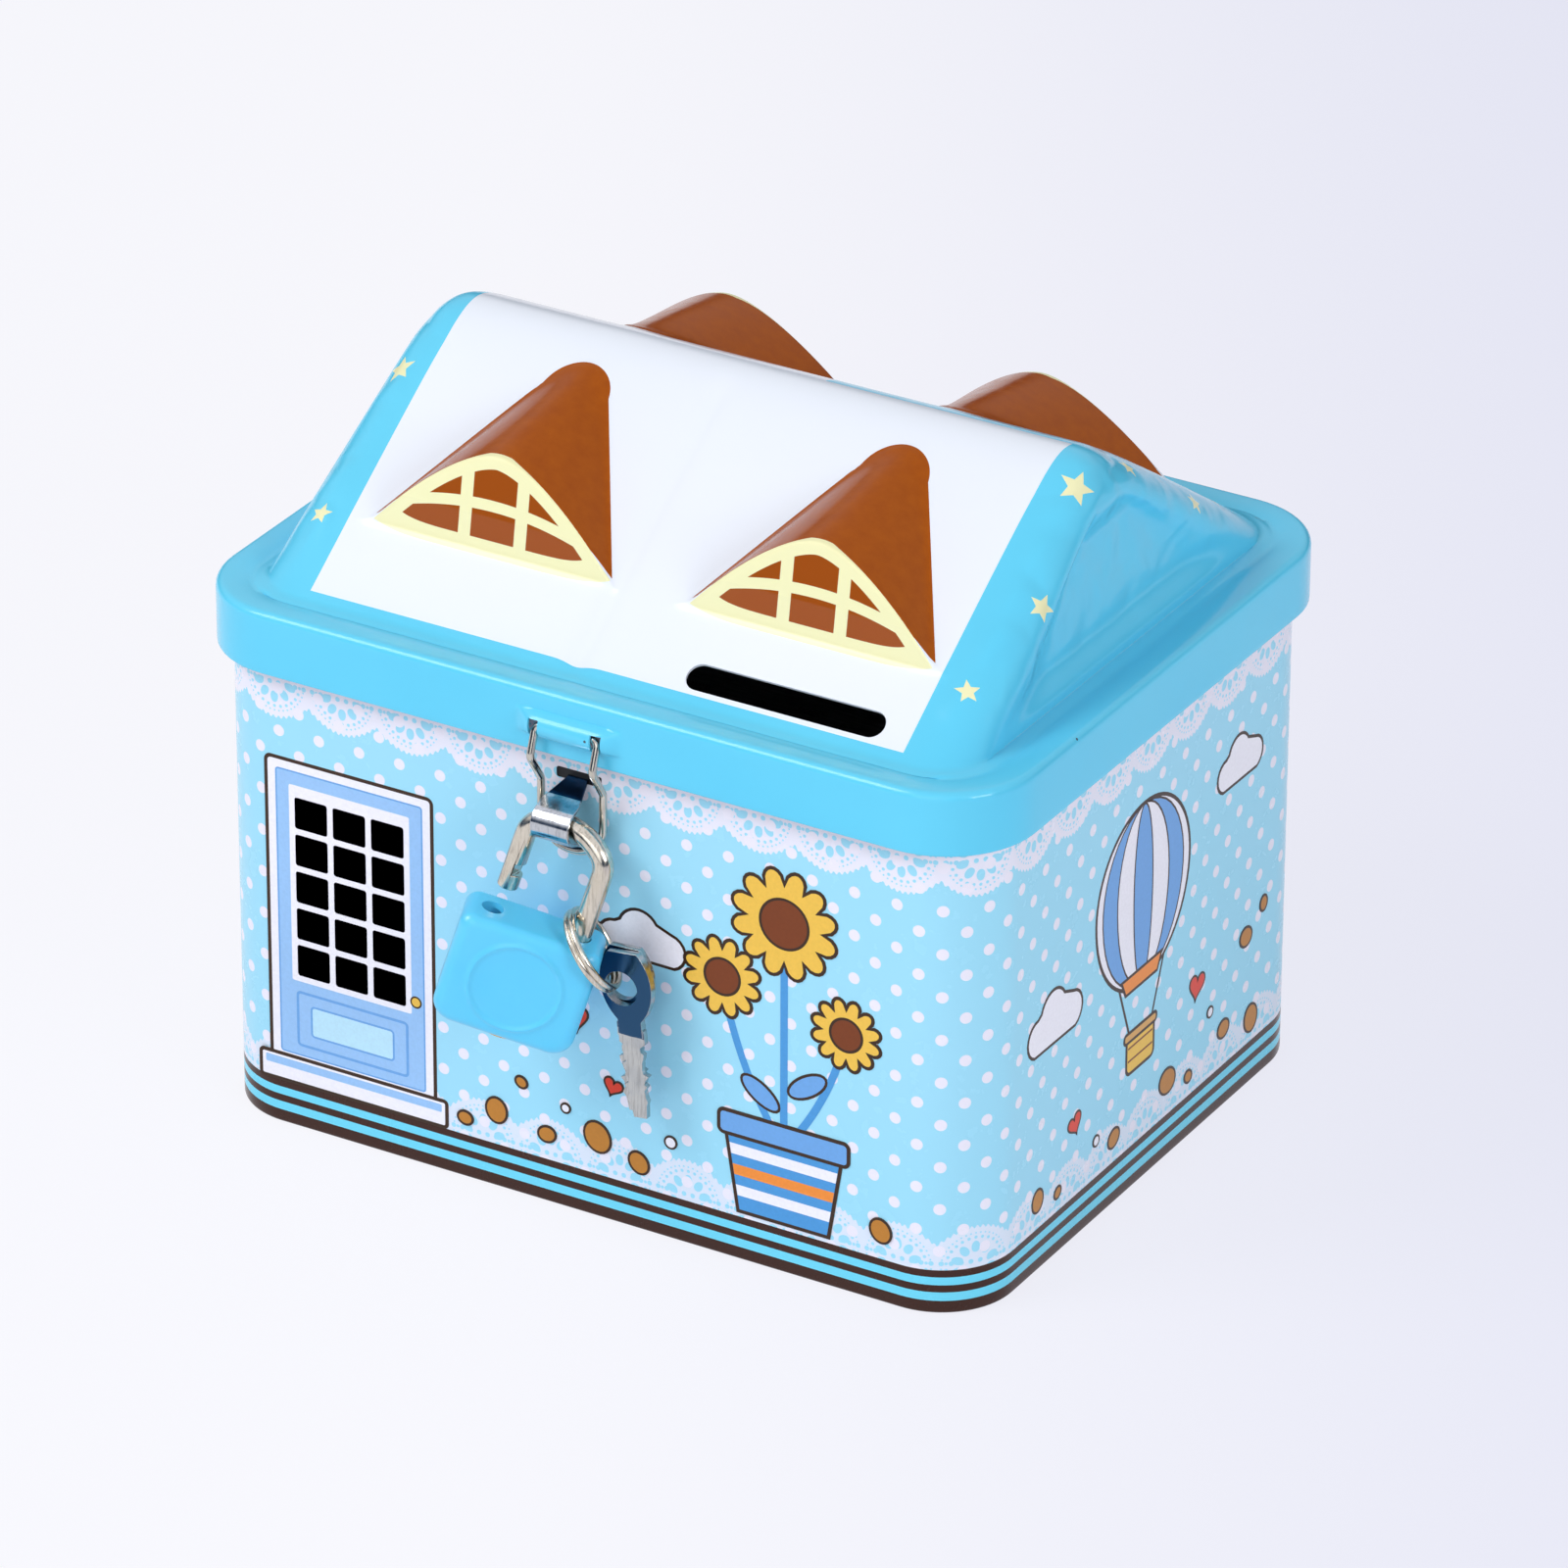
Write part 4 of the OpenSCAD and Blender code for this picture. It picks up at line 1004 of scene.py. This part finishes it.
def panelled_door(art, x0, y0, wide, high):
    """A flat-topped door: blue frame, three by five lilac panes, a knob and a step."""
    x1, y1 = x0 + wide, y0 + high
    art.fill("white", box(x0 - 2.2, y0 - 1, x1 + 2.2, y1 + 2.2, 0.8), 0.55)
    art.fill("door_blue", box(x0 - 0.6, y0, x1 + 0.6, y1 + 0.6, 0.4), 0.25, "mid_blue")
    art.fill("white", box(x0 + 1.4, y0 + 11.5, x1 - 1.4, y1 - 1.4, 0.3))
    art.layer += 1
    across = (wide - 2.8 - 0.9) / 3
    for i in range(3):
        for j in range(5):
            left = x0 + 1.4 + 0.9 + i * across
            low = y0 + 11.5 + 0.9 + j * (high - 14.7) / 5
            pane = box(left, low, left + across - 0.9, low + (high - 14.7) / 5 - 0.9, 0.4)
            # in one plane with the white panel, and so black, if a shape is printed before the door
            art.plate("lilac", pane, 0.03)
    art.fill("door_blue", box(x0 + 2.2, y0 + 1.6, x1 - 2.2, y0 + 9.8, 0.5), 0.4, "mid_blue")
    art.fill("pale", box(x0 + 4.4, y0 + 3.4, x1 - 4.4, y0 + 8.0, 0.5), 0.3, "mid_blue")
    art.fill("gold", ellipse(x1 - 0.7, y0 + 13.5, 0.8, 0.8, 20), 0.25)
    art.fill("white", box(x0 - 4.0, y0 - 4.6, x1 + 4.0, y0 - 0.6, 0.5), 0.55)
    art.fill("door_blue", box(x0 - 3.2, y0 - 2.4, x1 + 3.2, y0 - 1.2, 0.2))


def flower(art, cx, cy, r):
    """A golden flower with a brown seeded middle."""
    art.fill("gold", petals(cx, cy, r * 0.72, r, 12), 0.5)
    art.fill("cocoa", ellipse(cx, cy, r * 0.45, r * 0.45), 0.4)
    for k in range(6):
        a = k * pi / 3 + 0.3
        seed = ellipse(cx + r * 0.25 * cos(a), cy + r * 0.25 * sin(a), r * 0.06, r * 0.06, 10)
        art.plate("orange", seed, 0.06)


def flower_pot(art, cx, y0):
    """Three golden flowers in a striped blue pot."""
    for side, top, bend in ((0, 44, 0), (-9.5, 34, -3), (9.5, 31, 3)):
        t = np.linspace(0, 1, 14)
        stem = np.stack([cx + side * t ** 0.8 + bend * t * (1 - t), y0 + 12 + (top - 12) * t], 1)
        art.stroke("deep_blue", stem, 1.1, closed=False)
    for side, rise in ((-1, 19), (1, 22)):
        leaf = ellipse(cx + side * 3.6, y0 + rise, 3.4, 1.5, 24, side * 0.6)
        art.fill("mid_blue", leaf, 0.4)
    flower(art, cx - 9.5, y0 + 35, 6.0)
    flower(art, cx + 9.5, y0 + 31.5, 5.4)
    flower(art, cx, y0 + 45.5, 8.2)
    pot = np.array([[cx - 7, y0], [cx + 7, y0], [cx + 9, y0 + 12.5], [cx - 9, y0 + 12.5]])
    art.fill("deep_blue", pot, 0.55)
    for k in range(3):
        low, high = 2.4 + 3.1 * k, 4.0 + 3.1 * k
        w0, w1 = 7 + low * 0.16 - 0.3, 7 + high * 0.16 - 0.3
        band = np.array([[cx - w0, y0 + low], [cx + w0, y0 + low], [cx + w1, y0 + high],
                         [cx - w1, y0 + high]])
        art.fill("orange" if k % 2 else "white", band)
    art.fill("mid_blue", box(cx - 10, y0 + 11.5, cx + 10, y0 + 15, 0.8), 0.55)


def balloon(art, cx, cy, r):
    """A hot-air balloon with upright gores, ropes and a golden basket."""
    a = np.linspace(-pi / 2, 3 * pi / 2, 64, endpoint=False)
    shape = np.stack([cx + r * np.cos(a), cy + r * np.sin(a) * np.where(np.sin(a) < 0, 1.12, 1.0)], 1)
    for side in (-1, 1):
        art.stroke("brown", np.array([[cx + side * r * 0.5, cy - r * 0.93],
                                      [cx + side * 3.0, cy - r - 8.4]]), 0.45, closed=False)
    art.fill("white", shape, 0.55)
    rise = np.linspace(-0.95, 0.95, 20)
    for inner, outer in ((-0.86, -0.55), (-0.2, 0.2), (0.55, 0.86)):
        height = np.sin(rise * pi / 2)
        tall = cy + r * height * np.where(height < 0, 1.12, 1.0) * 0.985
        bulge = np.sqrt(np.clip(1 - height ** 2, 0, 1))
        gore = np.concatenate([np.stack([cx + r * inner * bulge, tall], 1),
                               np.stack([cx + r * outer * bulge, tall], 1)[::-1]])
        art.fill("mid_blue", gore, 0.3)
    skirt = np.array([[cx - 4.4, cy - r * 1.12], [cx + 4.4, cy - r * 1.12], [cx + 5.6, cy - r * 0.93],
                      [cx - 5.6, cy - r * 0.93]])
    art.fill("orange", skirt, 0.45)
    art.fill("gold", box(cx - 3.8, cy - r - 14.2, cx + 3.8, cy - r - 8.2, 1.0), 0.5)
    for k in range(2):
        line = np.array([[cx - 3.4, cy - r - 10.2 - 2 * k], [cx + 3.4, cy - r - 10.2 - 2 * k]])
        art.stroke("cocoa", line, 0.3, closed=False)
    art.fill("tan", box(cx - 4.5, cy - r - 9.2, cx + 4.5, cy - r - 7.8, 0.6), 0.45)


def cloud(art, cx, cy, s):
    """A white cloud: three bumps over a flat foot."""
    shape = np.concatenate([arc(cx - s, cy, s * 0.6, 250, 90, 10),
                            arc(cx - s * 0.1, cy + s * 0.45, s * 0.75, 160, 30, 12),
                            arc(cx + s, cy, s * 0.62, 80, -70, 10)])
    art.fill("white", shape[::-1], 0.45)


class TINBOX_OT_print(bpy.types.Operator):
    """Prints the plain motifs on the four walls"""

    bl_idname = "tinbox.print"
    bl_label = "Printed motifs"

    def execute(self, context):
        size = context.scene.tinbox_sizes
        front = Print("front_print", wall_map((1, 0), (0, -1), size.wall_y))
        cloud(front, 9, 44, 4.2)
        panelled_door(front, -48, 11.5, 22, 43)
        flower_pot(front, 31, 7.6)
        front.fill("black", box(-4.0, 65.8, 2.9, 67.3, 0.3))  # painted shade: a black patch stands for the dark opening of the staple's slot
        hearts(front, (-1.5, 30, 2.2, 0.15), (4.5, 21, 1.5, -0.3))
        pebbles(front, [(-14, 12, 1.8), (-10, 17.5, 0.9), (-6, 10.6, 1.3), (2, 12.5, 2.2), (8.5, 10.4, 1.6),
                        (13.5, 15, -0.9), (-19, 9.4, 1.1), (-3, 15.5, -0.7), (46, 11, 1.7)])
        front.place()
        side = Print("right_print", wall_map((0, 1), (1, 0), size.wall_x))
        balloon(side, -2, 45.5, 13)
        cloud(side, -26, 36, 4.6)
        cloud(side, 25, 52, 4.0)
        hearts(side, (14, 23, 2.2, -0.2), (-20, 18, 1.8, 0.3))
        pebbles(side, [(-30, 11, 1.6), (-24.5, 9.6, 0.9), (-9, 10.4, 1.5), (6, 12, 2.1), (12, 9.8, 1.0),
                       (22, 12.5, 1.5), (30, 10.4, 2.0), (28, 24, 1.6), (33, 27, 1.1), (-14, 12.4, -0.8),
                       (18, 17, -0.8)])
        side.place()
        left = Print("left_print", wall_map((0, -1), (-1, 0), size.wall_x))
        flower_pot(left, -14, 7.6)
        balloon(left, 17, 47.5, 10.5)
        pebbles(left, [(2, 10.5, 1.8), (8, 12, 1.1), (20, 10.4, 2.0), (28, 12, 1.3), (-32, 11, 1.6)])
        hearts(left, (30, 28, 2.0, 0.2))
        left.place()
        back = Print("back_print", wall_map((-1, 0), (0, 1), size.wall_y))
        panelled_door(back, 14, 11.5, 22, 38)
        balloon(back, -20, 46, 12)
        cloud(back, 2, 50, 4.2)
        pebbles(back, [(-38, 11, 1.8), (-30, 12.6, 1.1), (-10, 10.4, 2.0), (-4, 12, 1.3), (4, 10.6, 1.6)])
        hearts(back, (2, 28, 2.2, 0.2))
        back.place()
        return {"FINISHED"}


# ------------------------------------------------------------------ the pieces


class TINBOX_OT_body(bpy.types.Operator):
    """Makes the wall with its folded foot and curled rim, and finishes the base"""

    bl_idname = "tinbox.body"
    bl_label = "Box"

    def execute(self, context):
        size, colours = context.scene.tinbox_sizes, context.scene.tinbox_colours
        t, rim = size.sheet, WALL_TOP
        curl = 0.95
        centre = curl - t / 2
        profile = np.concatenate([
            [[-1.8, 0.05], [-1.2, 0.0]], arc(-0.5, 0.5, 0.5, -90, 0, 6),
            np.stack([np.zeros(24), np.linspace(1.2, rim - 3.2, 24)], 1),
            arc(centre, rim - curl, curl, 215, -35, 16),
            arc(centre, rim - curl, curl - t, -35, 215, 14),
            [[-t, rim - 2.6], [-t, 4.5], [-t, 1.0], [-0.8, t], [-1.8, t]]])
        points, run = swept(profile, size.wall_x, size.wall_y, size.corner)
        heights = np.concatenate([profile[:, 1], profile[:1, 1]])
        uv = np.stack(np.broadcast_arrays(run[None, :], heights[:, None]), -1)
        printed = np.zeros(points.shape[:2], int)
        printed[32 + 16:, :] = 1
        printed[:1, :] = 1
        made = surface("body_sheet", points, [lithographed_wall(size, colours),
                                              shared("bare_tinplate", bare_tinplate)],
                       wrap=(True, True), uv=uv, face_material=printed)
        made.data.set_sharp_from_angle(angle=radians(50))
        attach(made, "tin_body")
        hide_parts("body_wall")
        softened("base_plate", 0.15, [shared("bare_tinplate", bare_tinplate)], "tin_body", angle=35)
        return {"FINISHED"}


class TINBOX_OT_lid(bpy.types.Operator):
    """Presses the lid: skirt, ledge, gable roof, four dormers, sunk ends, wire tunnel and coin slot"""

    bl_idname = "tinbox.lid"
    bl_label = "Lid"

    def execute(self, context):
        size, colours = context.scene.tinbox_sizes, context.scene.tinbox_colours
        points, quads, triangles, inner_start = lid_mesh(size)
        mesh = polygons("lid_sheet", points, quads, triangles)
        inner = np.concatenate([quads.min(1), triangles.min(1)]) >= inner_start
        mesh.polygons.foreach_set("material_index", inner.astype(np.int32)[:len(mesh.polygons)])
        made = piece("lid_sheet", mesh, [enamelled_lid(size, colours),
                                         shared("bare_tinplate", bare_tinplate)])
        hasp = JOINTS["hasp_play"]["pos_m"][0] / MM
        slot_turn = Matrix.Rotation(atan2(size.slope, 1) - radians(3), 4, "X")
        slot = rounded([(-15, -2, 0), (15, -2, 0), (15, 2, 0), (-15, 2, 0)], [1.99] * 4, 8)
        rings = np.stack([slot - [0, 0, 5], slot + [0, 0, 5]])
        cutters = [rings @ np.array(slot_turn.to_3x3()).T + [26.7, -40.2, 81.9]]
        for side in (-1, 1):
            x = hasp + side * WIRE_HALF
            hole = rounded([(x - 0.8, -54, 0), (x + 0.8, -54, 0), (x + 0.8, -49.9, 0), (x - 0.8, -49.9, 0)],
                           [0.3] * 4, 4)
            cutters.append(np.stack([hole + [0, 0, 72.0], hole + [0, 0, 75.4]]))
        carve(made, cutters)
        made.data.set_sharp_from_angle(angle=radians(60))
        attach(made, "lid")
        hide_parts("roof_lid")
        return {"FINISHED"}


class TINBOX_OT_hasp(bpy.types.Operator):
    """Bends the hasp's wire and finishes the staple"""

    bl_idname = "tinbox.hasp"
    bl_label = "Hasp"

    def execute(self, context):
        wire = plated("nickel_wire")
        pivot = np.array(JOINTS["hasp_play"]["pos_m"]) / MM
        right = [(WIRE_HALF, 0, 0), (WIRE_HALF, -1.5, -4.2), (WIRE_HALF, 1.2, -8.4), (WIRE_HALF, 1.2, -18.0)]
        corners = right + [(-x, y, z) for x, y, z in reversed(right)]
        path = rounded(corners, [0.9, 1.2, 1.2, 4.6, 4.6, 1.2, 1.2, 0.9], 14) + pivot
        made = surface("hasp_wire_bent", tube(path, 0.55, 20), [wire], wrap=(True, True))
        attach(made, "hasp")
        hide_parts("hasp_wire")
        # painted reflection: the staple's plate, all but its loop, is coloured dark blue
        plate = nickel_plate("staple_strap", "#A9ADB5", "#D8DBE0", 0.14,
                             painted_reflection_mask=reflection_faces_above(1, -51.2, -1.0))
        softened("hasp_staple", 0.12, [plate], "tin_body")
        return {"FINISHED"}


class TINBOX_OT_hinges(bpy.types.Operator):
    """Finishes the two hinges, their pins and rivets"""

    bl_idname = "tinbox.hinges"
    bl_label = "Hinges"

    def execute(self, context):
        strap = plated("plated_strap")
        wire = plated("nickel_wire")
        for side in ("left", "right"):
            softened("hinge_body_leaf_" + side, 0.1, [strap], "tin_body")
            softened("hinge_lid_leaf_" + side, 0.1, [strap], "lid")
            softened("hinge_pin_" + side, 0.1, [wire], "tin_body")
        softened("hinge_body_rivets", 0.06, [wire], "tin_body")
        softened("hinge_lid_rivets", 0.06, [wire], "lid")
        return {"FINISHED"}


# the lock's case in mm: its sizes, its top below the shackle's hold, its soft edge, the legs and the bores
CASE_W, CASE_H, CASE_T, CASE_TOP, CASE_EDGE = 19.6, 16.5, 8.6, -13.9, 1.5
LEG_X, LEG_BORE, PLUG_BORE, PLUG_DROP = 6.1, 1.55, 3.55, 23.9


def case_outline(inset, count=144):
    """The lock's face as (across, up) pairs: a rectangle with small upper and larger lower corners,
    drawn in by the inset, and cut into equal steps of its length."""
    w, top, low = CASE_W / 2 - inset, CASE_TOP - inset, CASE_TOP - CASE_H + inset
    small, large = max(1.8 - inset / 2, 0.5), 3.0 - inset / 2
    path = rounded([(w, low, 0), (w, top, 0), (-w, top, 0), (-w, low, 0)], [large, small, small, large],
                   12)[:, :2]
    path = np.concatenate([path, path[:1]])
    run = np.concatenate([[0], np.cumsum(np.linalg.norm(np.diff(path, axis=0), axis=1))])
    at = np.linspace(0, run[-1], count, endpoint=False)
    return np.stack([np.interp(at, run, path[:, 0]), np.interp(at, run, path[:, 1])], 1)


def case_place(points):
    """Points in the lock's own frame (across, back, up from the shackle) to the scene, by its joints'
    axes."""
    up = np.array(JOINTS["case_lift"]["axis"])
    across = -np.array(JOINTS["bolt_throw"]["axis"])
    back = np.cross(up, across)
    start = np.array(JOINTS["plug_turn"]["pos_m"]) / MM + PLUG_DROP * up
    return start + points[..., :1] * across + points[..., 1:2] * back + points[..., 2:] * up


def lock_case(material):
    """The moulded case: rings of the outline from the middle of the front round a soft edge to the
    middle of the back. The front has a raised ring, height 0.3 exp(-((r - 6.25) / 0.34)^2); the bores
    are cut afterwards."""
    middle = np.array([0.0, CASE_TOP - CASE_H / 2])
    turn = np.radians(np.linspace(0, 90, 8))
    face = case_outline(CASE_EDGE)
    rows = []
    for share in np.linspace(0.03, 0.97, 48):
        flat = middle + share * (face - middle)
        r = np.linalg.norm(flat - middle, axis=1)
        rows.append((flat, -CASE_T / 2 - 0.3 * np.exp(-((r - 6.25) / 0.34) ** 2)))
    for side, angles in ((-1, turn), (1, turn[::-1])):
        for a in angles:
            rows.append((case_outline(CASE_EDGE * (1 - sin(a))),
                         side * (CASE_T / 2 - CASE_EDGE * (1 - cos(a)))))
    for share in (0.6, 0.1):
        rows.append((middle + share * (face - middle), CASE_T / 2))
    points = np.stack([np.stack([xz[:, 0], y + 0 * xz[:, 0], xz[:, 1]], 1) for xz, y in rows])
    n, m = points.shape[:2]
    quads = grid_quads(n, m)[2]
    k = np.arange(m)
    ends = [[n * m + 0 * k, (k + 1) % m, k], [n * m + 1 + 0 * k, (n - 1) * m + k, (n - 1) * m + (k + 1) % m]]
    triangles = np.concatenate([np.stack(end, 1) for end in ends])
    hubs = np.array([[0, -CASE_T / 2, middle[1]], [0, CASE_T / 2, middle[1]]])
    points = case_place(np.concatenate([points.reshape(-1, 3), hubs]))
    made = piece("lock_case", polygons("lock_case", points, quads[:, ::-1], triangles[:, ::-1]), [material])

    def prism(ring, axis, *levels):
        """The ring at two levels along an axis of the lock's frame."""
        return case_place(np.stack([np.insert(ring, axis, level, axis=1) for level in levels]))

    def bore(x, radius, low, high):
        return prism(arc(x, 0, radius, 0, 360 - 10, 36), 2, low, high)

    low, slot_z = CASE_TOP - CASE_H, CASE_TOP - 1.6
    slot = np.array([[-LEG_X, -1.7], [2.6, -1.7], [2.6, 1.7], [-LEG_X, 1.7]])
    carve(made, [bore(LEG_X, LEG_BORE, CASE_TOP - 15.5, CASE_TOP + 1),
                 bore(-LEG_X, LEG_BORE, CASE_TOP - 6, CASE_TOP + 1),
                 bore(0, PLUG_BORE, low - 1, low + 11.6), prism(slot, 2, slot_z - 0.75, slot_z + 0.75),
                 prism(case_outline(1.4, 72)[::-1], 1, CASE_T / 2 - 0.6, CASE_T / 2 + 1)])
    made.data.set_sharp_from_angle(angle=radians(40))
    return made


class TINBOX_OT_padlock(bpy.types.Operator):
    """Finishes the padlock's case, shackle and inside"""

    bl_idname = "tinbox.padlock"
    bl_label = "Padlock"

    def execute(self, context):
        colours = context.scene.tinbox_colours
        enamel = lock_enamel(colours)
        brass = shared("turned_brass", turned_brass)
        shackle = plated("polished_shackle")
        case = lock_case(enamel)
        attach(case, "lock_case")
        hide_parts("padlock_case")
        softened("padlock_back", 0.15, [enamel], "lock_case", angle=35)
        softened("shackle", 0.25, [shackle], "shackle_body")
        softened("lock_plug", 0.1, [brass], "plug")
        softened("lock_wafers", 0.04, [brass], "plug")
        softened("latch_bolt", 0.1, [brass], "bolt")
        softened("shackle_follower", 0.1, [brass], "follower")
        CAD_NODES["shackle_spring"].data.materials.clear()
        CAD_NODES["shackle_spring"].data.materials.append(plated("nickel_wire"))
        return {"FINISHED"}


class TINBOX_OT_keys(bpy.types.Operator):
    """Finishes the split ring and the keys"""

    bl_idname = "tinbox.keys"
    bl_label = "Keys"

    def execute(self, context):
        ring = plated("polished_shackle")
        # painted reflection: the broad flat of each key's head is coloured dark blue
        key = nickel_plate("key_plating", "#A3A8AE", "#D5D4CE", 0.2, painted_reflection_mask=reflection_faces_above(2, 33.2, 0.93),
                           painted_reflection_hex="#2F5070")
        softened("key_ring", 0.02, [ring], "ring", angle=80)
        softened("key_front", 0.12, [key], "key_a")
        softened("key_rear", 0.12, [key], "key_b")
        return {"FINISHED"}


def seen_rays(tree):
    """1 for rays from the camera or a mirror, and 1 for rays from a mirror alone."""
    ray = add(tree, "ShaderNodeLightPath")
    glossy = ray.outputs["Is Glossy Ray"]
    return larger(tree, ray.outputs["Is Camera Ray"], glossy), glossy


def paper_floor():
    """White paper with painted shade that makes it a little darker and lavender to the right, and that glows
    so that it looks evenly lit.
    """
    material, tree, shader = new_material("white_paper_floor")
    grain = noise(tree, object_mm(tree), 0.4, 4.0)
    tone = ink_over(tree, linear("#F1F1FA"), linear("#F4F4FC"), grain)
    finish_shader(shader, Base_Color=tone, Roughness=0.9)
    # painted shade: the glow turns darker and more lavender towards the right
    across = add(tree, VECTOR, object_mm(tree), (0.86, 0.5, 0.0), operation="DOT_PRODUCT").outputs["Value"]
    across = spread(tree, across, -60.0, 170.0, 0.0, 1.0, **SMOOTH)
    glow = add(tree, "ShaderNodeEmission", ink_over(tree, linear("#FAFAFF"), linear("#E6E7F6"), across),
               1.0)
    share = times(tree, seen_rays(tree)[0], 0.9)
    mixed = add(tree, "ShaderNodeMixShader", share, shader, glow)
    output = next(node for node in tree.nodes if node.type == "OUTPUT_MATERIAL")
    tree.links.new(mixed.outputs[0], output.inputs[0])
    return material


def studio_world():
    """A white room, brighter to the eye than as a lamp."""
    world = bpy.data.worlds.new("studio")
    world.use_nodes = True
    tree = world.node_tree
    tree.nodes.clear()
    seen, glossy = seen_rays(tree)
    strength = spread(tree, seen, 0.0, 1.0, 0.42, 1.0)
    # the room beyond the white sweep is dark near the horizon, which only plated metal picks up
    rise = axes(tree, add(tree, "ShaderNodeTexCoord").outputs["Generated"])[2]
    band = spread(tree, rise, 0.12, 0.5, 0.0, 1.0, **SMOOTH)
    band = larger(tree, band, minus(tree, 1.0, glossy))
    room = ink_over(tree, linear("#2A3F58"), linear("#F7F8FF"), band)
    sky = add(tree, "ShaderNodeBackground", room, strength)
    add(tree, "ShaderNodeOutputWorld", sky)
    return world


def add_lamps(collection):
    """Three soft square lamps: name, place, side in m, power in W and the point that each faces."""
    for name, place, reach, power, aim in (
            ("key_softbox", (-0.45, -0.55, 0.75), 0.45, 4.6, (0, 0, 0.05)),
            ("right_strip", (0.75, -0.3, 0.4), 0.3, 1.9, (0, 0, 0.06)),
            ("front_fill", (0.2, -0.9, 0.35), 0.5, 1.0, (0, 0, 0.05))):
        lamp = bpy.data.lights.new(name, "AREA")
        lamp.size, lamp.energy = reach, power
        holder = bpy.data.objects.new(name, lamp)
        holder.location = place
        holder.rotation_euler = (Vector(aim) - Vector(place)).to_track_quat("-Z", "Y").to_euler()
        collection.objects.link(holder)


def photo_camera():
    """The camera that was fitted to the photo: lens, axes and place."""
    camera = bpy.data.cameras.new("camera")
    camera.sensor_width, camera.lens, camera.clip_end = 36.0, 238.0, 20.0
    holder = bpy.data.objects.new("camera", camera)
    right, up = Vector((0.86171, 0.50738, 0.00328)), Vector((-0.23872, 0.39971, 0.88501))
    back = right.cross(up)
    turn = Matrix((right, up, back)).transposed().to_4x4()
    holder.matrix_world = Matrix.Translation((0.636752, -1.080626, 0.703945)) @ turn
    return holder


class TINBOX_OT_stage(bpy.types.Operator):
    """Lays the pale floor and sets the lamps, the world and the camera"""

    bl_idname = "tinbox.stage"
    bl_label = "Stage"

    def execute(self, context):
        scene = context.scene
        reach = 3000.0
        grid = np.stack(np.meshgrid([-reach, reach], [-reach, reach], [0.0], indexing="xy"), -1)[:, :, 0]
        floor = surface("floor", grid, [paper_floor()])
        scene.world = studio_world()
        add_lamps(scene.collection)
        scene.camera = photo_camera()
        scene.collection.objects.link(scene.camera)
        scene.view_settings.view_transform = "Standard"
        return {"FINISHED"}


class TINBOX_PT_panel(bpy.types.Panel):
    """Sizes, colours and pieces of the tin money box"""

    bl_label = "Tin box"
    bl_idname = "TINBOX_PT_panel"
    bl_space_type = "VIEW_3D"
    bl_region_type = "UI"
    bl_category = "Tin box"

    def draw(self, context):
        for group in (context.scene.tinbox_sizes, context.scene.tinbox_colours):
            for name in group.__annotations__:
                self.layout.prop(group, name)
        for operator in OPERATORS:
            self.layout.operator(operator.bl_idname)


OPERATORS = (TINBOX_OT_stage, TINBOX_OT_body, TINBOX_OT_lid, TINBOX_OT_print, TINBOX_OT_hasp,
             TINBOX_OT_hinges, TINBOX_OT_padlock, TINBOX_OT_keys)
CLASSES = (TinBoxSizes, TinBoxColours, *OPERATORS, TINBOX_PT_panel)


def register():
    for kind in CLASSES:
        bpy.utils.register_class(kind)
    bpy.types.Scene.tinbox_sizes = bpy.props.PointerProperty(type=TinBoxSizes)
    bpy.types.Scene.tinbox_colours = bpy.props.PointerProperty(type=TinBoxColours)


def unregister():
    del bpy.types.Scene.tinbox_sizes
    del bpy.types.Scene.tinbox_colours
    for kind in reversed(CLASSES):
        bpy.utils.unregister_class(kind)


def main():
    """Makes every piece in order."""
    register()
    for operator in OPERATORS:
        getattr(bpy.ops.tinbox, operator.bl_idname.split(".")[1])()


if __name__ == "__main__":
    main()
